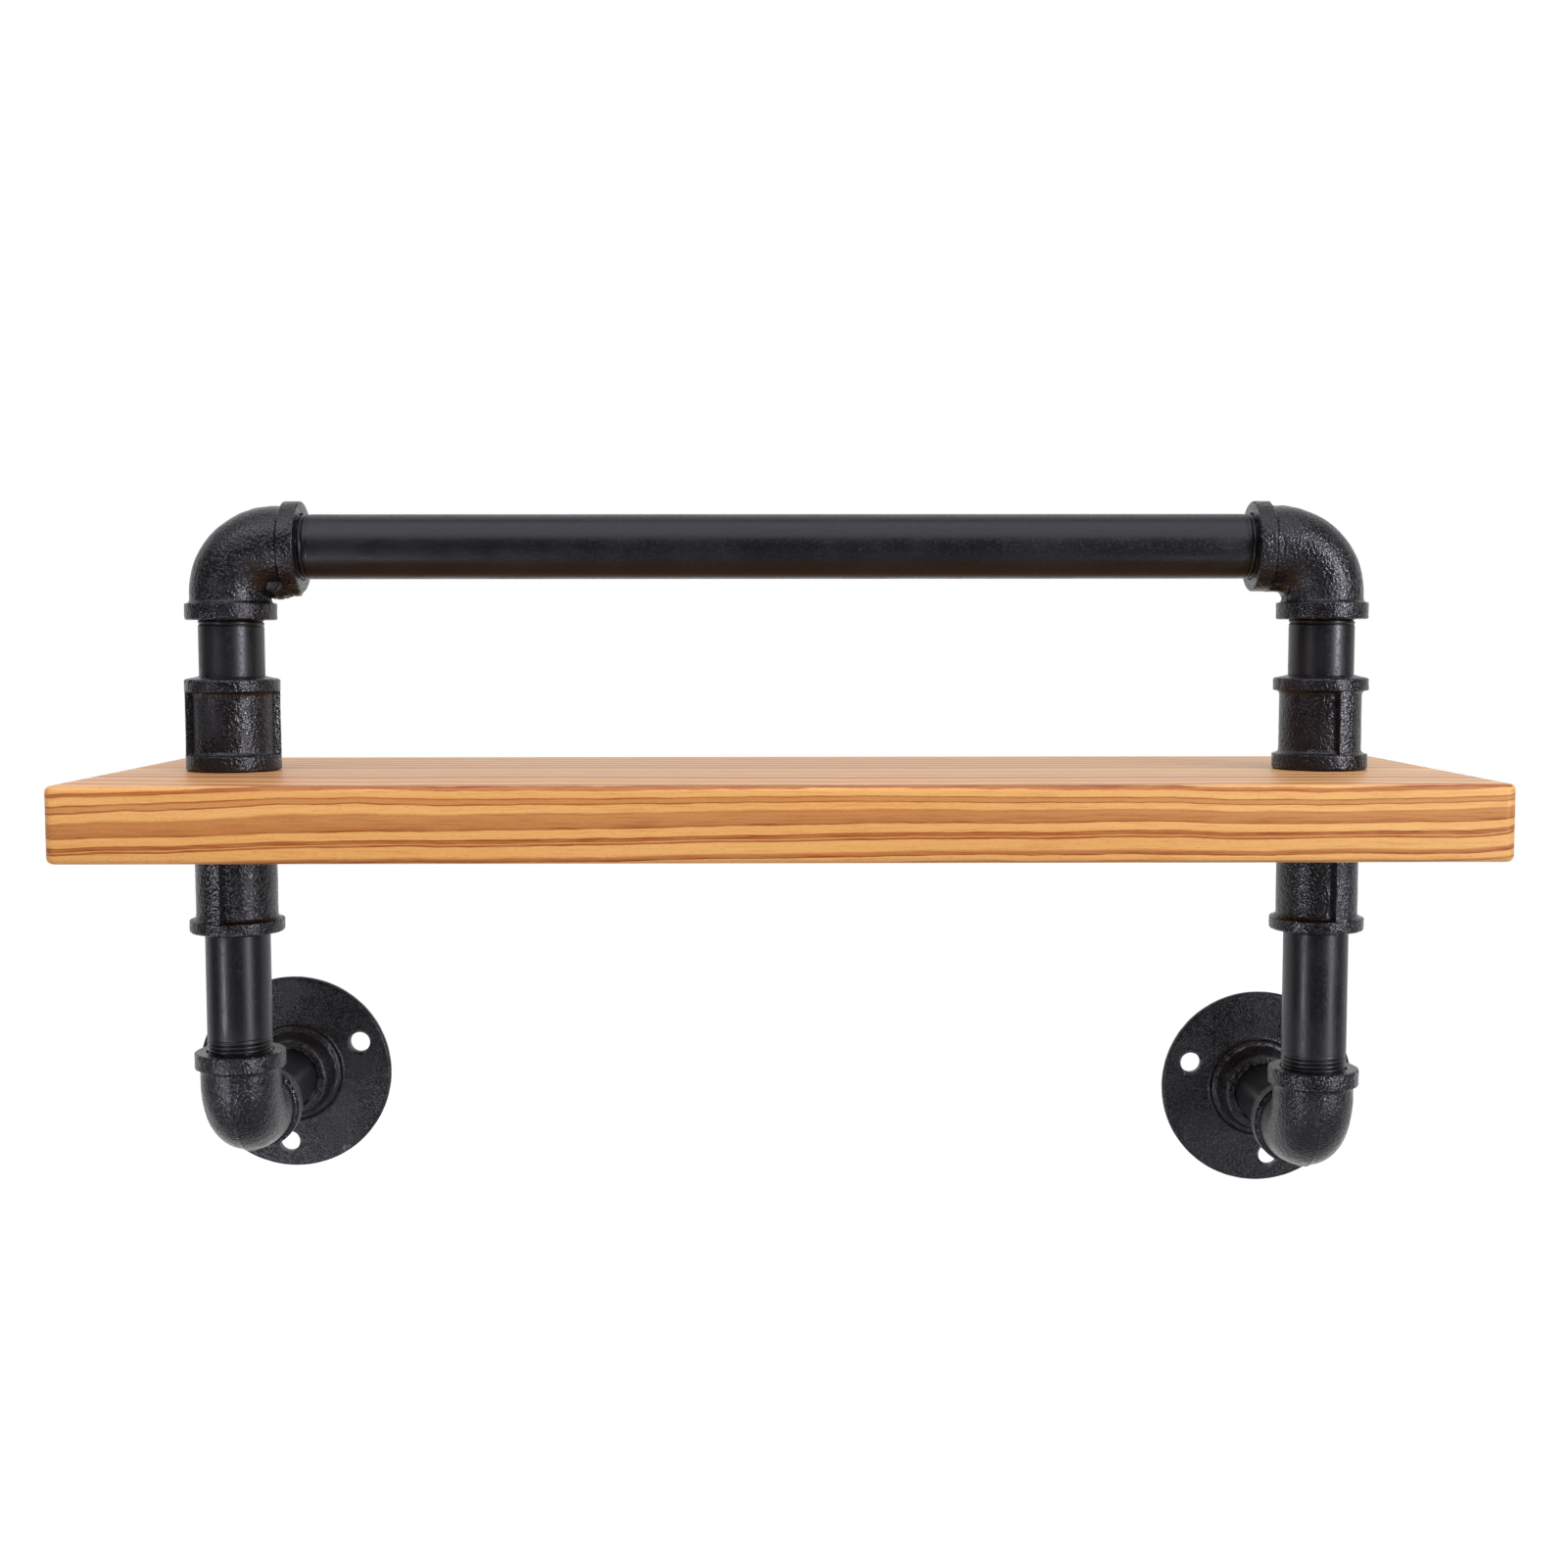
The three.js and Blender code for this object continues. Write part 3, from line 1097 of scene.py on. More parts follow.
ROUGH_WEB: Profile = [
    (0.0150, 0.0188), (0.0162, 0.0206), (0.0180, 0.0214), (0.0205, 0.0216),
    (0.0225, 0.0212), (0.0250, 0.0206), (0.0276, 0.0204), (0.0292, 0.0198), (0.0302, 0.0184),
]
EVEN_WEB: Profile = [
    (0.0160, 0.0218), (0.0166, 0.0210), (0.0171, 0.0201), (0.0177, 0.0195),
    (0.0184, 0.0192), (0.0193, 0.0190), (0.0238, 0.01895), (0.0250, 0.0180),
]
BODY_OF = {node: body for body, nodes in frame["record"]["behaviour"]["bodies"].items() for node in nodes}


def hand_over(piece: Piece, node: str, material: Material) -> None:
    """Dresses a piece and puts it on the body of the solid that it stands for.

    Args:
        piece: The piece, in place.
        node: Name of the solid.
        material: Its finish.
    """
    piece.data.materials.append(material)
    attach(piece, BODY_OF[node])
    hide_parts(node)
    log.info("%s: %d faces, rides on %s", piece.name, len(piece.data.polygons), BODY_OF[node])


def spin(angle: float, axis: str) -> Matrix:
    """A turn about an axis, by its letter."""
    return Matrix.Rotation(angle, MATRIX_SIZE, axis)


def middle(node: str) -> Vector:
    """The middle of a solid's box."""
    low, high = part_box(node)
    return (low + high) / 2


@dataclass(frozen=True)
class Nipple:
    """A length of pipe with a taper thread on each end, some of it showing."""

    node: str
    place: Matrix
    length: float
    shown: Span
    engaged: Span = (Thread.engaged, Thread.engaged)
    radius: float = 0.01345
    bore: float = 0.0108
    steps: int = 80
    thread: Thread = Thread()
    thread_steps: int = 10
    hidden_turns: float = 1.5
    hidden_depth: float = 0.4

    def stations(self) -> list[float]:
        """Places along the pipe that get a ring: close together where thread shows."""
        fine = self.thread.pitch / self.thread_steps
        marks = {0.0, self.length}
        for end, (engaged, shown) in enumerate(zip(self.engaged, self.shown)):
            first = engaged - self.thread.pitch
            last = engaged + shown + fine
            for step in range(math.ceil((last - first) / fine) + 1):
                here = first + fine * step
                marks.add(self.length - here if end else here)
        return sorted(marks)

    def radius_at(self, along: float, angle: float) -> float:
        """The pipe's radius at a place.

        Args:
            along: Distance from the lower end.
            angle: Angle round the pipe.

        Returns:
            The radius.
        """
        end = 0 if along < self.length / 2 else 1
        from_end = self.length - along if end else along
        engaged = self.engaged[end]
        hidden = max(engaged - from_end, 0.0) * self.thread.taper
        if from_end < engaged - self.thread.pitch * self.hidden_turns:
            return self.radius - self.thread.groove * self.hidden_depth - hidden
        return self.radius - hidden - self.thread.depth(from_end, angle, engaged + self.shown[end])

    def build(self, finishes: Finishes) -> None:
        """Makes the pipe and hands it over.

        Args:
            finishes: The materials.
        """
        angles = even_angles(self.steps)
        skin = Skin(f"{self.node}_tube")
        for along in self.stations():
            skin.add(level_ring(angles, along, [self.radius_at(along, angle) for angle in angles]))
        for along in (self.length, self.length / 2, 0.0):
            skin.add(level_ring(angles, along, self.bore))
        piece = stand(skin.mesh(self.place))
        hand_over(piece, self.node, finishes.pipe)


@dataclass(frozen=True)
class Mouth:
    """A banded socket mouth of a casting, from its bore out to the plain body."""

    band_radius: float
    body_radius: float
    width: float
    fillet: float
    edge: float = 0.0009
    slope: float = 0.0
    corner: float = 0.0005
    radius: float = 0.01365
    lead: float = 0.0004
    lead_depth: float = 0.0006
    lip_turn: Span = (-72.0, 0.0)
    corner_turn: Span = (30.0, 90.0)
    fillet_turn: Span = (262.0, 180.0)

    def outside(self) -> list[Row]:
        """The outside as (radius, depth, relief, nicks) from the lead-in to the body."""
        lead = (self.radius + self.lead, 0.0)
        face = (self.band_radius - self.edge, self.slope)
        lip = (face[0], self.slope + self.edge)
        corner = (self.band_radius - self.corner, self.width - self.corner)
        foot = (self.body_radius + self.fillet, self.width + self.fillet)
        band = stretch((self.band_radius, lip[1]), (self.band_radius, corner[1]), steps=7)
        rows = rows_of(Surface.BARE, [lead])
        rows += rows_of(Surface.FACE, stretch(lead, face, steps=4))
        rows += rows_of(Surface.LIP, arc(lip, self.edge, *self.lip_turn, steps=4))
        rows += rows_of(Surface.BAND, band)
        rows += rows_of(Surface.STEP, arc(corner, self.corner, *self.corner_turn, steps=2))
        rows += rows_of(Surface.FOOT, arc(foot, self.fillet, *self.fillet_turn, steps=6))
        return rows

    def inside(self, depth: float, steps: int) -> Profile:
        """The inside as (radius, depth) from its bottom to the lead-in's foot.

        Args:
            depth: Depth of the bottom.
            steps: Number of stretches.

        Returns:
            The points.
        """
        bottom = (self.radius - depth * Thread.taper, depth)
        return [bottom, *stretch(bottom, (self.radius, self.lead_depth), steps)]


@dataclass(frozen=True)
class Web:
    """A lump of metal in the crotch of an elbow, against the band of its +X mouth."""

    node: str
    profile: Profile
    rough: float
    core: float = 0.0154
    sunk_core: float = 0.985
    core_spread: Axes = (0.5, 0.0, -0.5)
    half_angle: float = 0.62
    plateau: float = 1.35
    lump: float = 0.0017
    steps: int = 26
    stations: int = 22

    def top(self, along: float) -> float:
        """The lump's radius about the +X mouth's axis.

        Args:
            along: Distance along that axis.

        Returns:
            The radius.
        """
        for (start, low), (end, high) in zip(self.profile, self.profile[1:]):
            if along <= end:
                return low + (high - low) * (along - start) / (end - start)
        return self.profile[-1][1]

    def build(self, place: Matrix) -> Piece:
        """Makes the lump, as a tool to join to its elbow.

        Args:
            place: Where the elbow stands.

        Returns:
            The lump.
        """
        first, last = self.profile[0][0], self.profile[-1][0]
        rings = []
        for station in range(self.stations + 1):
            along = first + (last - first) * station / self.stations
            top = self.top(along)
            ring = []
            for step in range(self.steps + 1):
                angle = self.half_angle * (2 * step / self.steps - 1)
                swell = smooth(self.plateau * (1 - abs(angle) / self.half_angle))
                radius = self.core + (top - self.core) * swell
                spot = Vector((along, radius * math.sin(angle), radius * math.cos(angle)))
                bumpy = noise.noise(spot / self.lump) + 0.5 * noise.noise(spot * 2 / self.lump)
                ring.append(spot + Vector((0.0, 0.0, self.rough * swell * bumpy)))
            low = self.core * self.sunk_core
            for share in self.core_spread:
                angle = self.half_angle * share
                ring.append(Vector((along, low * math.sin(angle), low * math.cos(angle))))
            rings.append(ring)
        return stand(capped(f"{self.node}_web", rings, place))


@dataclass(frozen=True)
class Casting:
    """A cast piece: its skin, the tools that work it and its paint."""

    node: str
    place: Matrix

    def skin(self) -> Skin:
        """The closed skin, before it is put in its place."""
        raise NotImplementedError

    def tools(self) -> list[Piece]:
        """Solids to cut from the piece or join to it, none unless its class says so."""
        return []

    def joining(self) -> Joining:
        """What is done with the tools."""
        return Joining.CUT

    def paint(self, finishes: Finishes) -> Material:
        """Which of the materials covers it."""
        return finishes.casting

    def build(self, finishes: Finishes, relief: Relief) -> None:
        """Makes the piece and hands it over.

        Args:
            finishes: The materials.
            relief: The casting's unevenness.
        """
        piece = stand(self.skin().mesh(self.place, relief), CAST_CREASE)
        tools = self.tools()
        if tools:
            work(piece, tools, self.joining(), CAST_CREASE)
        hand_over(piece, self.node, self.paint(finishes))


@dataclass(frozen=True)
class Elbow(Casting):
    """A cast elbow with a banded mouth on +Z and one on +X."""

    reach: float
    nub: float
    web: Web | None = None
    mouth: Mouth = Mouth(band_radius=0.0190, body_radius=0.01685, width=0.0072, fillet=0.0014)
    bend: float = 0.01935
    passage_bend: float = 0.0145
    passage: float = 0.0108
    socket: float = 0.016
    seam_height: float = 0.0004
    seam_half_width: float = 0.00055
    seam_least: float = 0.45
    seam_gain: float = 0.8
    crotch_seam: float = 0.5
    ragged_cells: Axes = (260.0, 2.0, 900.0)
    ragged_shift: float = 40.0
    nub_aside: float = 0.0012
    nub_share: float = 0.72
    nub_radius: float = 0.0022
    steps: int = 140
    arm_steps: int = 3
    bend_steps: int = 56
    socket_steps: int = 4
    passage_steps: int = 12

    def ring(self, turn_radius: float, along: float, radii: Sequence[float], angles: Sequence[float]) -> Ring:
        """A ring round the centreline, which comes down +Z and turns out along +X.

        Args:
            turn_radius: Radius of the centreline's turn.
            along: Distance from the upper mouth.
            radii: The ring's radius at each angle.
            angles: Angles round the centreline, from the outside of the turn.

        Returns:
            The ring.
        """
        straight = self.reach - turn_radius
        turn = min(max((along - straight) / turn_radius, 0.0), QUARTER)
        outward = Vector((-math.cos(turn), 0.0, -math.sin(turn)))
        centre = Vector((turn_radius, 0.0, turn_radius)) + outward * turn_radius
        centre.z += max(straight - along, 0.0)
        centre.x += max(along - straight - QUARTER * turn_radius, 0.0)
        across = Vector((0.0, 1.0, 0.0))
        return [
            centre + outward * (radius * math.cos(angle)) + across * (radius * math.sin(angle))
            for radius, angle in zip(radii, angles)
        ]

    def swelling(self, along: float, angle: float, end: float) -> float:
        """What stands proud of the round body: the parting seam, and the nub on it.

        Args:
            along: Distance from the upper mouth along the skin.
            angle: Angle from the outside of the turn.
            end: Length of the skin's centreline.

        Returns:
            The added radius.
        """
        cells = [value * scale for value, scale in zip((along, angle, self.reach), self.ragged_cells)]
        ragged = self.seam_gain * abs(noise.noise(Vector(cells) + self.place.translation * self.ragged_shift))
        near_heel = abs(turn_between(angle, 0.0)) * self.mouth.body_radius
        near_crotch = abs(turn_between(angle, math.pi)) * self.mouth.body_radius
        seam = self.seam_height * smooth(1 - near_heel / self.seam_half_width) * (self.seam_least + ragged)
        seam += self.seam_height * smooth(1 - near_crotch / self.seam_half_width) * self.crotch_seam
        gate = math.hypot(near_heel - self.nub_aside, along - end * self.nub_share)
        return seam + self.nub * smooth(1 - gate / self.nub_radius)

    def skin(self) -> Skin:
        """The outside round the bend, then the two sockets and the passage between them."""
        body = self.mouth.body_radius
        angles = angles_round(self.steps, (0.0, math.pi), self.seam_half_width / body)
        half = self.mouth.outside()
        inner = half[-1][1]
        straight = self.reach - self.bend
        end = 2 * straight + QUARTER * self.bend
        path = stretch((body, inner), (body, straight), self.arm_steps)
        path += stretch((body, straight), (body, end - straight), self.bend_steps)
        path += stretch((body, end - straight), (body, end - inner), self.arm_steps)[:-1]
        skin = Skin(f"{self.node}_casting")
        for radius, along, weight, edge in (*half, *rows_of(Surface.SKIN, path), *mirrored(half, end)):
            plain = weight > 0 and edge == 0
            radii = [radius + (self.swelling(along, angle, end) if plain else 0.0) for angle in angles]
            skin.add(self.ring(self.bend, along, radii, angles), weight, edge)
        turn = QUARTER * self.passage_bend
        bore = self.mouth.inside(self.socket, self.socket_steps)
        inside = [(radius, 2 * self.socket + turn - depth) for radius, depth in reversed(bore)]
        for step in range(self.passage_steps, -1, -1):
            inside.append((self.passage, self.socket + turn * step / self.passage_steps))
        for radius, along in inside + bore:
            skin.add(self.ring(self.passage_bend, along, [radius] * len(angles), angles))
        return skin

    def tools(self) -> list[Piece]:
        """The web, if it has one."""
        return [] if self.web is None else [self.web.build(self.place)]

    def joining(self) -> Joining:
        """The web is joined on."""
        return Joining.ADD


@dataclass(frozen=True)
class Coupling(Casting):
    """A cast coupling along +Z with a band at each end and two ribs."""

    length: float
    rib_clock: float
    seated: bool
    mouth: Mouth = Mouth(0.0197, 0.0170, width=0.0065, fillet=0.0018, edge=0.0012, slope=0.0009)
    seat: Mouth = Mouth(0.0197, 0.0170, width=0.0065, fillet=0.0018, edge=0.0007)
    rib_width: float = 0.006
    rib_crown: float = 0.0009
    rib_sunk: float = 0.00015
    rib_reach: float = 0.8
    steps: int = 150
    body_steps: int = 24
    bore_steps: int = 6

    def rib(self, angle: float, radius: float) -> float:
        """How far a rib stands over the body at an angle.

        Args:
            angle: Angle round the coupling.
            radius: The body's radius there.

        Returns:
            The added radius.
        """
        top = self.mouth.band_radius - self.rib_sunk
        for clock in (self.rib_clock, self.rib_clock + math.pi):
            side = abs(turn_between(angle, clock)) * radius
            share = smooth((self.rib_width / 2 - side) / self.rib_crown + 0.5)
            if share > 0:
                return max(top - radius, 0.0) * share
        return 0.0

    def skin(self) -> Skin:
        """The outside with its bands and ribs, then the bore from the top down."""
        body, band = self.mouth.body_radius, self.mouth.band_radius
        edge = self.rib_width / 2 / band
        seams = [self.rib_clock + turn + side * edge for turn in (0, math.pi) for side in (-1, 1)]
        angles = angles_round(self.steps, seams, self.rib_crown / band)
        lower, upper = (self.seat, self.mouth) if self.seated else (self.mouth, self.seat)
        half = upper.outside()
        inner = half[-1][1]
        barrel = stretch((body, inner), (body, self.length - inner), self.body_steps)[:-1]
        rows = (*lower.outside(), *rows_of(Surface.SKIN, barrel), *mirrored(half, self.length))
        clear = self.mouth.width * self.rib_reach
        skin = Skin(f"{self.node}_casting")
        for radius, along, weight, worn in rows:
            ribbed = clear < along < self.length - clear
            radii = [radius + (self.rib(angle, radius) if ribbed else 0.0) for angle in angles]
            skin.add(level_ring(angles, along, radii), weight, worn)
        bore = self.mouth.inside(self.length / 2, self.bore_steps)
        for radius, height in [(radius, self.length - depth) for radius, depth in reversed(bore)] + bore[1:]:
            skin.add(level_ring(angles, height, radius))
        return skin


@dataclass(frozen=True)
class WallFlange(Casting):
    """A round wall flange along +Z from its wall face, with a hub and screw holes."""

    clock: float
    radius: float = 0.0453
    thickness: float = 0.0045
    rim_edge: float = 0.0016
    hub_height: float = 0.018
    hub_wall: float = 0.0046
    hub_flare: float = 0.0018
    hub_edge: float = 0.0022
    ledge: float = 0.0026
    shoulder_height: float = 0.0024
    shoulder_edge: Span = (0.0025, 0.0020)
    shoulder_fillet: float = 0.0016
    shoulder_turn: Span = (0.0, 90.0)
    corner_turn: Span = (12.0, 90.0)
    fillet_turn: Span = (258.0, 186.0)
    ledge_edge: Span = (0.0004, 0.0002)
    hub_start: Span = (0.0002, 0.0005)
    bed: float = 0.004
    burr: Span = (0.0002, 0.0005)
    rim_rows: Axes = (0.3, 0.5, 0.7)
    mouth: float = 0.01365
    lead: float = 0.0008
    hole: float = 0.00475
    bevel: float = 0.0014
    holes: int = 3
    circle_share: float = 0.49
    cut_thread: float = 0.0027
    cut_fade: float = 0.0008
    cut_from: float = 0.0028
    cut_steps: int = 24
    hole_steps: int = 48
    steps: int = 168

    def profile(self) -> list[Row]:
        """The section as (radius, height, relief, nicks) from the wall face round to the bore."""
        hub = self.mouth + self.hub_wall
        foot = hub + self.hub_flare
        shoulder = foot + self.ledge
        top = self.thickness + self.shoulder_height
        bottom = self.mouth - self.hub_height * Thread.taper
        rim = (self.radius - self.rim_edge, self.thickness - self.rim_edge)
        fillet = (shoulder + self.shoulder_fillet, self.thickness + self.shoulder_fillet)
        crown = (hub - self.hub_edge, self.hub_height - self.hub_edge)
        lead = (self.mouth + self.lead, self.hub_height)
        inner = (foot + self.ledge_edge[0], top - self.ledge_edge[1])
        start = (foot - self.hub_start[0], top + self.hub_start[1])
        across, up = self.shoulder_edge
        unit = arc((0.0, 0.0), 1.0, *self.shoulder_turn, steps=7)
        edge = [(shoulder - across + across * x, top - up + up * y) for x, y in unit]
        plate = stretch((rim[0], self.thickness), (fillet[0], self.thickness), steps=18)
        rows = rows_of(Surface.BARE, [(bottom, 0.0), (self.mouth + self.bed, 0.0), (rim[0], 0.0)])
        rows += rows_of(Surface.BURR, [(self.radius - self.burr[0], self.burr[1])])
        rows += rows_of(Surface.RIM, [(self.radius, share * self.thickness) for share in self.rim_rows])
        rows += rows_of(Surface.RIM_EDGE, arc(rim, self.rim_edge, *self.corner_turn, steps=6))
        rows += rows_of(Surface.SKIN, plate + arc(fillet, self.shoulder_fillet, *self.fillet_turn, steps=5))
        rows += rows_of(Surface.SHOULDER, edge)
        rows += rows_of(Surface.SKIN, [inner, start, *stretch(start, (hub, crown[1]), steps=12)])
        rows += rows_of(Surface.CROWN, arc(crown, self.hub_edge, *self.corner_turn, steps=5))
        rows += rows_of(Surface.END, stretch((crown[0], self.hub_height), lead, steps=3))
        rows += rows_of(Surface.BARE, [(self.mouth, self.hub_height - self.lead)])
        return rows

    def bore_radius(self, height: float, angle: float) -> float:
        """The threaded bore's radius, cut only where it shows at the wall face.

        Args:
            height: Height over the wall face.
            angle: Angle round the bore.

        Returns:
            The radius.
        """
        thread = Thread()
        plain = self.mouth - (self.hub_height - height) * thread.taper
        fade = smooth((self.cut_thread - height) / self.cut_fade)
        return plain + thread.groove * thread.wave(height, angle) * fade

    def tools(self) -> list[Piece]:
        """The drills that cut the screw holes and their bevels."""
        shoulder = self.mouth + self.hub_wall + self.hub_flare + self.ledge
        circle = shoulder + (self.radius - shoulder) * self.circle_share
        wide = self.hole + self.bevel
        past = self.thickness
        narrow = [(self.hole, -past), (self.hole, self.thickness - self.bevel)]
        tool = [*narrow, (wide, self.thickness), (wide, 2 * past)]
        cutters = []
        for step in range(self.holes):
            angle = self.clock + FULL * step / self.holes
            spot = Matrix.Translation((circle * math.cos(angle), circle * math.sin(angle), 0.0))
            cutters.append(turned(f"{self.node}_drill", tool, self.hole_steps, self.place @ spot))
        return cutters

    def paint(self, finishes: Finishes) -> Material:
        """The flanges' own, duller paint."""
        return finishes.flange

    def skin(self) -> Skin:
        """The section turned about the axis, then the bore with the thread that shows."""
        angles = even_angles(self.steps)
        skin = Skin(f"{self.node}_casting")
        for radius, height, weight, edge in self.profile():
            skin.add(level_ring(angles, height, radius), weight, edge)
        for step in range(1, self.cut_steps + 1):
            height = self.cut_from * (1 - step / (self.cut_steps + 1))
            skin.add(level_ring(angles, height, [self.bore_radius(height, angle) for angle in angles]))
        return skin


@dataclass(frozen=True)
class Board:
    """The pine board: rounded corners, rounded edges and a bore for each leg."""

    node: str
    low: Vector
    high: Vector
    legs: tuple[Vector, Vector]
    corner: float = 0.005
    edge: float = 0.0024
    bore: float = 0.01425
    bore_steps: int = 64
    corner_steps: int = 10
    edge_steps: int = 6

    def outline(self, inset: float) -> Profile:
        """The board's outline from above.

        Args:
            inset: How far it is drawn in.

        Returns:
            The points, counter-clockwise.
        """
        radius = self.corner - inset
        centres = (
            (self.high.x - self.corner, self.high.y - self.corner),
            (self.low.x + self.corner, self.high.y - self.corner),
            (self.low.x + self.corner, self.low.y + self.corner),
            (self.high.x - self.corner, self.low.y + self.corner),
        )
        points = []
        for turn, centre in enumerate(centres):
            start = RIGHT_ANGLE * turn
            points += arc(centre, radius, start, start + RIGHT_ANGLE, self.corner_steps)
        return points

    def build(self, finish: PineFinish) -> Piece:
        """Makes the board and hands it over.

        Args:
            finish: The wood.

        Returns:
            The piece.
        """
        levels = []
        for step in range(self.edge_steps + 1):
            angle = QUARTER * step / self.edge_steps
            inset = self.edge * (1 - math.sin(angle))
            levels.append((inset, self.low.z + self.edge * (1 - math.cos(angle))))
        levels += [(inset, self.high.z + self.low.z - height) for inset, height in reversed(levels)]
        rings = [[Vector((*point, height)) for point in self.outline(inset)] for inset, height in levels]
        piece = stand(capped(f"{self.node}_plank", rings, Matrix()))
        thick = self.high.z - self.low.z
        tool = [(self.bore, -thick), (self.bore, 2 * thick)]
        spots = [Matrix.Translation((leg.x, leg.y, self.low.z)) for leg in self.legs]
        cutters = [turned(f"{self.node}_drill", tool, self.bore_steps, spot) for spot in spots]
        work(piece, cutters, Joining.CUT, PLAIN_CREASE)
        hand_over(piece, self.node, finish.build(self))
        return piece


@dataclass(frozen=True)
class Leg:
    """Everything on one leg: the wall arm below and the upright that carries the rail."""

    side: Side
    flange_clock: float
    lower_rib: float
    upper_rib: float
    web: Web
    long_thread: float = 0.0072
    short_thread: float = 0.0038
    no_thread: float = 0.0003

    def name(self, part: str) -> str:
        """The node's name for a part of this leg."""
        return f"{self.side.value}_{part}"

    def upright_tube(self, part: str, shown: Span) -> Nipple:
        """A vertical nipple where its solid stands.

        Args:
            part: The part's name without its side.
            shown: Thread that shows at the lower and the upper end.

        Returns:
            The nipple.
        """
        low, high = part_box(self.name(part))
        foot = Vector(((low.x + high.x) / 2, (low.y + high.y) / 2, low.z))
        engaged = [Thread.engaged, Thread.engaged]
        if part == "lower_nipple":
            engaged[0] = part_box(self.name("lower_elbow"))[1].z - low.z
        return Nipple(self.name(part), Matrix.Translation(foot), high.z - low.z, shown, tuple(engaged))

    def wall_tube(self) -> Nipple:
        """The nipple that reaches from the flange to the lower elbow."""
        low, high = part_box(self.name("wall_nipple"))
        start = Vector(((low.x + high.x) / 2, high.y, (low.z + high.z) / 2))
        place = Matrix.Translation(start) @ spin(QUARTER, "X")
        return Nipple(self.name("wall_nipple"), place, high.y - low.y, (self.short_thread, self.long_thread))

    def elbows(self) -> list[Elbow]:
        """The lower elbow, mouths up and back, and the upper one, mouths down and inward."""
        axis = middle(self.name("lower_nipple"))
        arm = middle(self.name("wall_nipple"))
        rail = middle("top_rail")
        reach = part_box(self.name("lower_elbow"))[1].z - arm.z
        lower = Matrix.Translation((axis.x, axis.y, arm.z)) @ spin(QUARTER, "Z")
        over = "X" if self.side is Side.LEFT else "Y"
        upper = Matrix.Translation((axis.x, axis.y, rail.z)) @ spin(math.pi, over)
        return [
            Elbow(self.name("lower_elbow"), lower, reach, nub=0.0008),
            Elbow(self.name("upper_elbow"), upper, reach, nub=0.0, web=self.web),
        ]

    def couplings(self) -> list[Coupling]:
        """The coupling under the board and the one on it."""
        axis = middle(self.name("lower_nipple"))
        pieces = []
        for part, clock in (("lower_coupling", self.lower_rib), ("upper_coupling", self.upper_rib)):
            low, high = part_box(self.name(part))
            place = Matrix.Translation((axis.x, axis.y, low.z))
            seated = part == "upper_coupling"
            pieces.append(Coupling(self.name(part), place, high.z - low.z, math.radians(clock), seated))
        return pieces

    def flange(self) -> WallFlange:
        """The wall flange."""
        centre = middle(self.name("wall_flange"))
        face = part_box(self.name("wall_flange"))[1].y
        place = Matrix.Translation((centre.x, face, centre.z)) @ spin(QUARTER, "X")
        return WallFlange(self.name("wall_flange"), place, math.radians(self.flange_clock))

    def build(self, finishes: Finishes) -> None:
        """Makes every piece of the leg.

        Args:
            finishes: The materials.
        """
        uprights = (
            ("lower_nipple", (self.long_thread, self.no_thread)),
            ("board_nipple", (self.short_thread, self.short_thread)),
            ("upper_nipple", (self.no_thread, self.short_thread)),
        )
        for tube in (self.wall_tube(), *[self.upright_tube(part, shown) for part, shown in uprights]):
            tube.build(finishes)
        relief = Relief()
        for casting in (*self.elbows(), *self.couplings(), self.flange()):
            casting.build(finishes, relief)
        log.info("%s leg is in place", self.side.value)


@dataclass(frozen=True)
class Rail:
    """The rail across the top."""

    shown: float = 0.0044

    def build(self, finishes: Finishes) -> None:
        """Makes the rail.

        Args:
            finishes: The materials.
        """
        low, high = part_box("top_rail")
        start = Vector((low.x, (low.y + high.y) / 2, (low.z + high.z) / 2))
        place = Matrix.Translation(start) @ spin(QUARTER, "Y")
        Nipple("top_rail", place, high.x - low.x, (self.shown, self.shown)).build(finishes)


class Reach(Enum):
    """What a lamp is for."""

    ALL = "light and reflections"
    GLOSS = "reflections only"
    SOFT = "light without reflections"


@dataclass(frozen=True)
class Softbox:
    """One soft lamp."""

    name: str
    centre: Axes
    aim: Axes
    width: float
    height: float
    radiance: float
    reach: Reach = Reach.ALL

    def build(self) -> None:
        """Hangs the lamp, turned to its aim."""
        light = bpy.data.lights.new(self.name, "AREA")
        light.shape = "RECTANGLE"
        light.size = self.width
        light.size_y = self.height
        light.energy = self.radiance * self.width * self.height * math.pi
        lamp = bpy.data.objects.new(self.name, light)
        lamp.location = self.centre
        towards = Vector(self.aim) - Vector(self.centre)
        lamp.rotation_euler = towards.to_track_quat("-Z", "Y").to_euler()
        lamp.visible_camera = False
        lamp.visible_diffuse = self.reach is not Reach.GLOSS
        lamp.visible_glossy = self.reach is not Reach.SOFT
        bpy.context.scene.collection.objects.link(lamp)


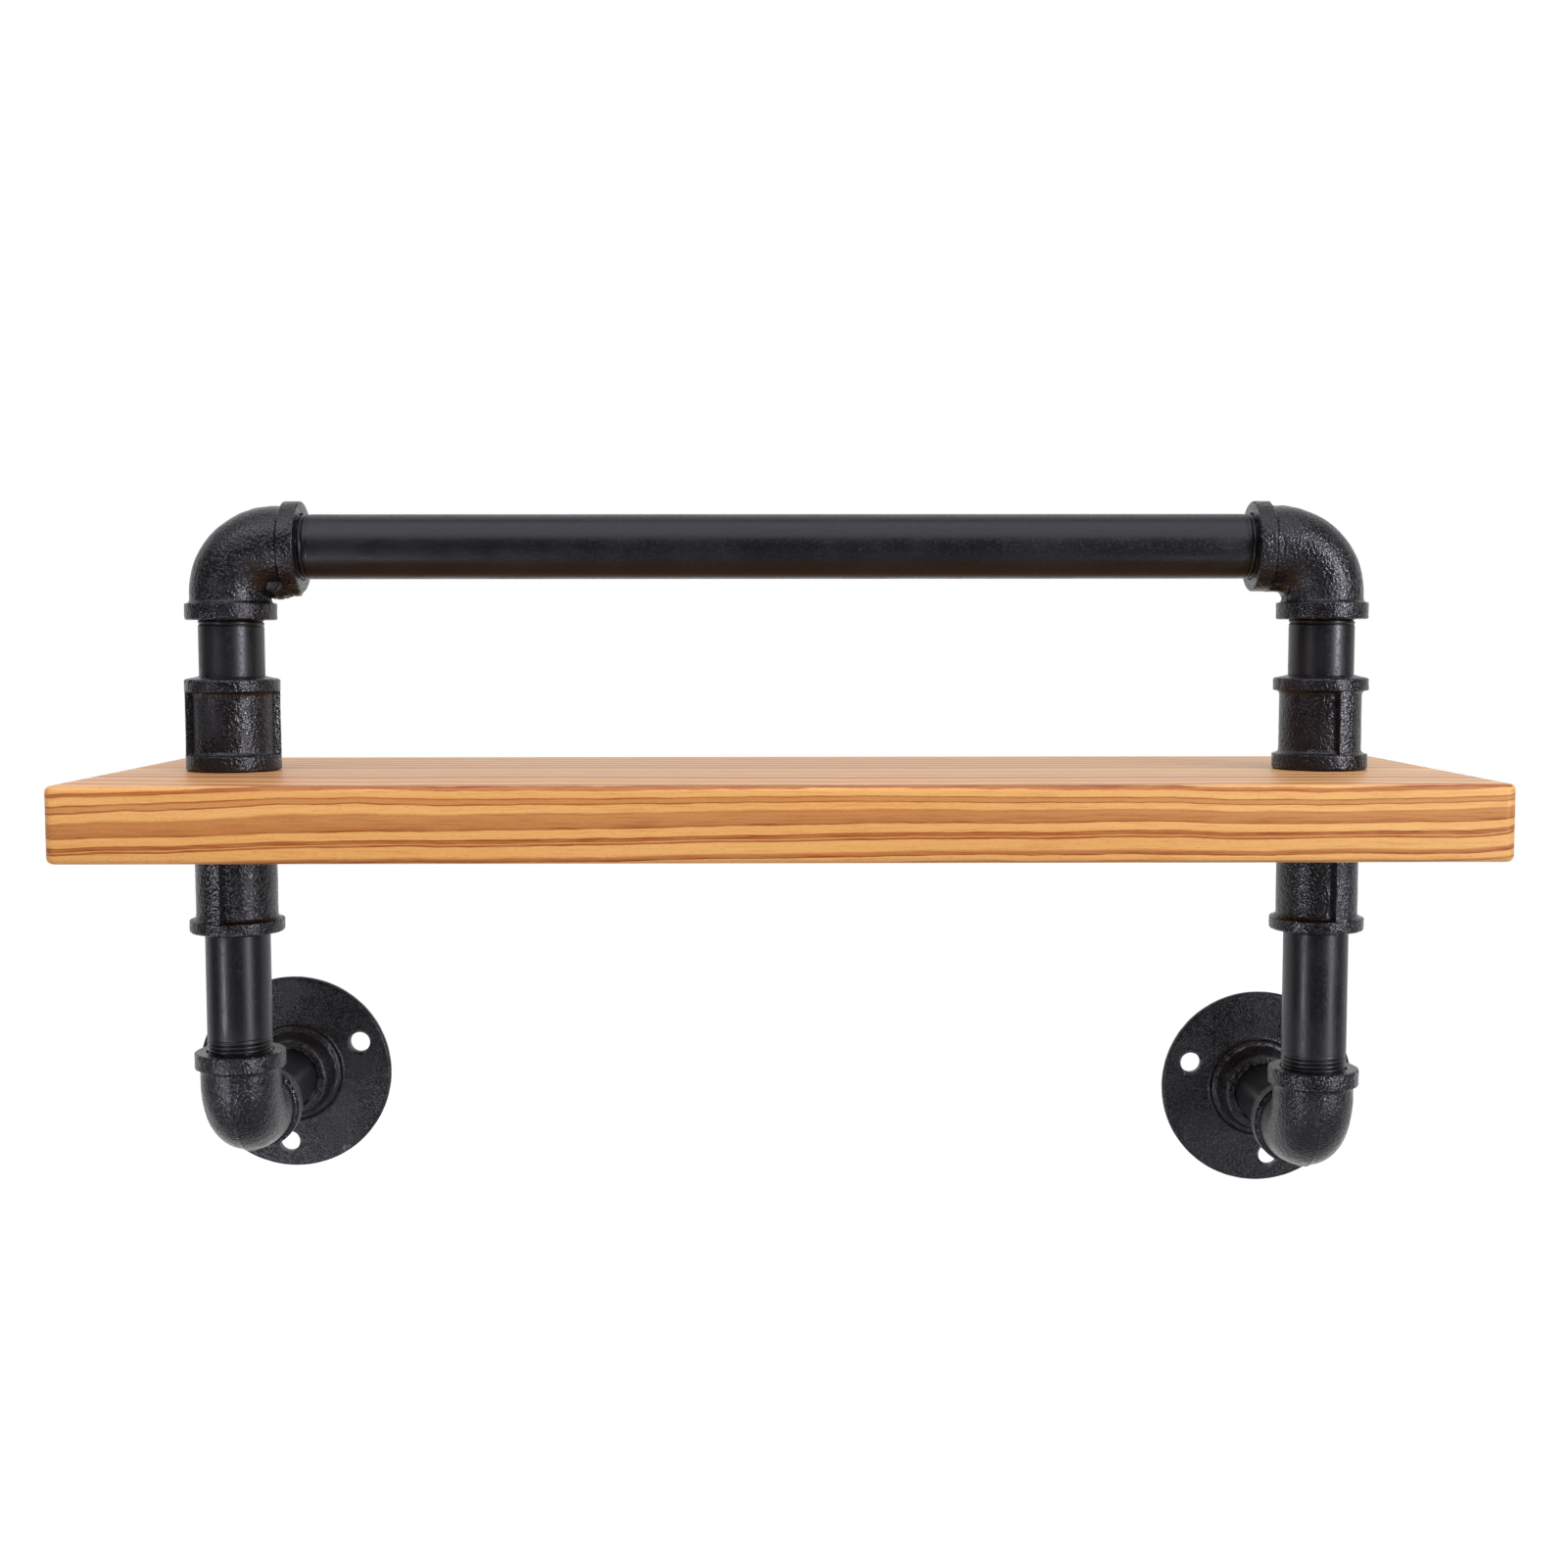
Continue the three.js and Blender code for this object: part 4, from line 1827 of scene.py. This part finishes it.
@dataclass(frozen=True)
class Studio:
    """Camera, lamps, world and floor."""

    image: int = 1601
    sensor: float = 36.0
    focal_pixels: float = 1993.0
    nearest: float = 0.01
    eye: Axes = (-0.00372, -0.91826, 0.20432)
    pitch: float = 0.07418
    yaw: float = -0.00771
    roll: float = -0.00093
    floor_height: float = -0.62
    floor_size: float = 14.0
    floor_colour: Colour = srgb(208, 208, 208)
    floor_dim: Colour = srgb(160, 160, 160)
    floor_roughness: float = 0.9
    floor_lift: float = 0.78
    floor_edge: Span = (-0.2, 0.7)
    lamps: tuple[Softbox, ...] = (
        Softbox("right_lamp", (2.15, -2.12, 0.75), (0.0, -0.1, 0.12), 0.5, 1.9, 11.5),
        Softbox("right_strip", (2.05, -2.02, 0.60), (0.0, -0.1, 0.12), 0.26, 1.5, 44.0, Reach.GLOSS),
        Softbox("right_foot_strip", (1.14, -1.06, -0.43), (0.0, -0.1, 0.0), 0.15, 0.26, 18.0, Reach.GLOSS),
        Softbox("left_lamp", (-2.2, -1.9, 0.3), (0.0, -0.1, 0.1), 0.8, 1.6, 2.5, Reach.SOFT),
        Softbox("left_strip", (-0.82, -0.82, -0.24), (0.0, -0.1, 0.0), 0.06, 0.54, 42.0, Reach.GLOSS),
        Softbox("left_low_strip", (-0.40, -0.60, -0.42), (-0.15, -0.1, 0.0), 0.07, 0.36, 20.0, Reach.GLOSS),
        Softbox("right_low_strip", (0.36, -0.60, -0.42), (0.0, -0.1, 0.0), 0.07, 0.36, 8.0, Reach.GLOSS),
        Softbox("left_high_lamp", (-1.5, -1.2, 1.75), (0.0, -0.1, 0.1), 0.8, 0.8, 6.0, Reach.GLOSS),
        Softbox("top_lamp", (0.0, -0.9, 1.7), (0.0, -0.1, 0.1), 2.4, 2.2, 1.85),
    )
    ambient: float = 0.36
    dim: float = 0.08
    backdrop_edge: Span = (0.12, 0.5)

    def camera(self) -> None:
        """Puts the camera where the photograph was taken from."""
        data = bpy.data.cameras.new("studio_camera")
        data.sensor_width = self.sensor
        data.lens = self.focal_pixels * self.sensor / self.image
        data.clip_start = self.nearest
        camera = bpy.data.objects.new("studio_camera", data)
        look = spin(self.yaw, "Z") @ spin(QUARTER - self.pitch, "X")
        camera.matrix_world = Matrix.Translation(self.eye) @ look @ spin(self.roll, "Z")
        bpy.context.scene.collection.objects.link(camera)
        bpy.context.scene.camera = camera

    def world(self) -> None:
        """A white backdrop that camera and gloss see, and an even, lower light on surfaces."""
        world = bpy.data.worlds.new("studio_world")
        world.use_nodes = True
        bpy.context.scene.world = world
        graph = Graph(world.node_tree)
        background = world.node_tree.nodes["Background"]
        path = graph.add("LightPath")
        across = graph.axis(graph.add("TexCoord").outputs["Generated"], "Y")
        backdrop = graph.remap(across, *self.backdrop_edge, self.dim, 1.0)
        seen = graph.math("MAXIMUM", path.outputs["Is Camera Ray"], path.outputs["Is Transmission Ray"])
        brighter = graph.math("SUBTRACT", backdrop, self.ambient)
        glossy = graph.math("MULTIPLY", path.outputs["Is Glossy Ray"], brighter)
        level = graph.math("ADD", glossy, self.ambient)
        strength = graph.math("ADD", level, graph.math("MULTIPLY", seen, graph.math("SUBTRACT", 1.0, level)))
        graph.fill(background, {"Color": WHITE, "Strength": strength})

    def floor(self) -> None:
        """A pale floor that keeps the shelf's soft shadow and reads as white to the camera."""
        half = self.floor_size / 2
        mesh = bpy.data.meshes.new("studio_floor")
        corners = [(-half, -half), (half, -half), (half, half), (-half, half)]
        mesh.from_pydata([(x, y, self.floor_height) for x, y in corners], [], [(0, 1, 2, 3)])
        floor = bpy.data.objects.new("studio_floor", mesh)
        bpy.context.scene.collection.objects.link(floor)
        material, graph, shader, place = new_material("floor_white")
        path = graph.add("LightPath")
        behind = graph.remap(graph.axis(place, "Y"), *self.floor_edge)
        gloss = graph.math("MULTIPLY", path.outputs["Is Glossy Ray"], behind)
        front = graph.math("SUBTRACT", path.outputs["Is Glossy Ray"], gloss)
        seen = graph.math("MAXIMUM", path.outputs["Is Camera Ray"], path.outputs["Is Transmission Ray"])
        looks = {
            "Base Color": graph.mix(front, self.floor_colour, self.floor_dim),
            "Roughness": self.floor_roughness,
            "Specular IOR Level": 0.0,
            "Emission Color": WHITE,
            "Emission Strength": graph.math("MULTIPLY", graph.math("MAXIMUM", seen, gloss), self.floor_lift),
        }
        graph.fill(shader, looks)
        mesh.materials.append(material)

    def build(self) -> None:
        """Sets up the whole studio."""
        self.camera()
        self.world()
        self.floor()
        for lamp in self.lamps:
            lamp.build()
        bpy.context.scene.view_settings.view_transform = "Standard"

    def spare(self, board: Piece) -> None:
        """Keeps the reflections-only lamps off the board, so that its varnish glares less from behind.

        Args:
            board: The finished board.
        """
        spared = bpy.data.collections.new("board_without_strips")
        spared.objects.link(board)
        spared.collection_objects[0].light_linking.link_state = "EXCLUDE"
        for lamp in self.lamps:
            if lamp.reach is Reach.GLOSS:
                bpy.data.objects[lamp.name].light_linking.receiver_collection = spared


def main() -> None:
    """Builds the studio, both legs, the rail and the board."""
    logging.basicConfig(level=logging.INFO, format="%(message)s")
    studio = Studio()
    studio.build()
    effects = Effects()
    finishes = Finishes(CASTING.build(effects), FLANGE.build(effects), PIPE.build(effects))
    rough_web = Web("left_upper_elbow", ROUGH_WEB, rough=0.0008)
    even_web = Web("right_upper_elbow", EVEN_WEB, rough=0.0001)
    legs = (
        Leg(Side.LEFT, flange_clock=24.5, lower_rib=-105.0, upper_rib=-163.5, web=rough_web),
        Leg(Side.RIGHT, flange_clock=160.3, lower_rib=-72.5, upper_rib=-72.0, web=even_web),
    )
    for leg in legs:
        leg.build(finishes)
    Rail().build(finishes)
    low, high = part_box("shelf_board")
    stood = (middle("left_board_nipple"), middle("right_board_nipple"))
    board = Board("shelf_board", low, high, stood).build(PineFinish())
    studio.spare(board)


if __name__ == "__main__":
    main()
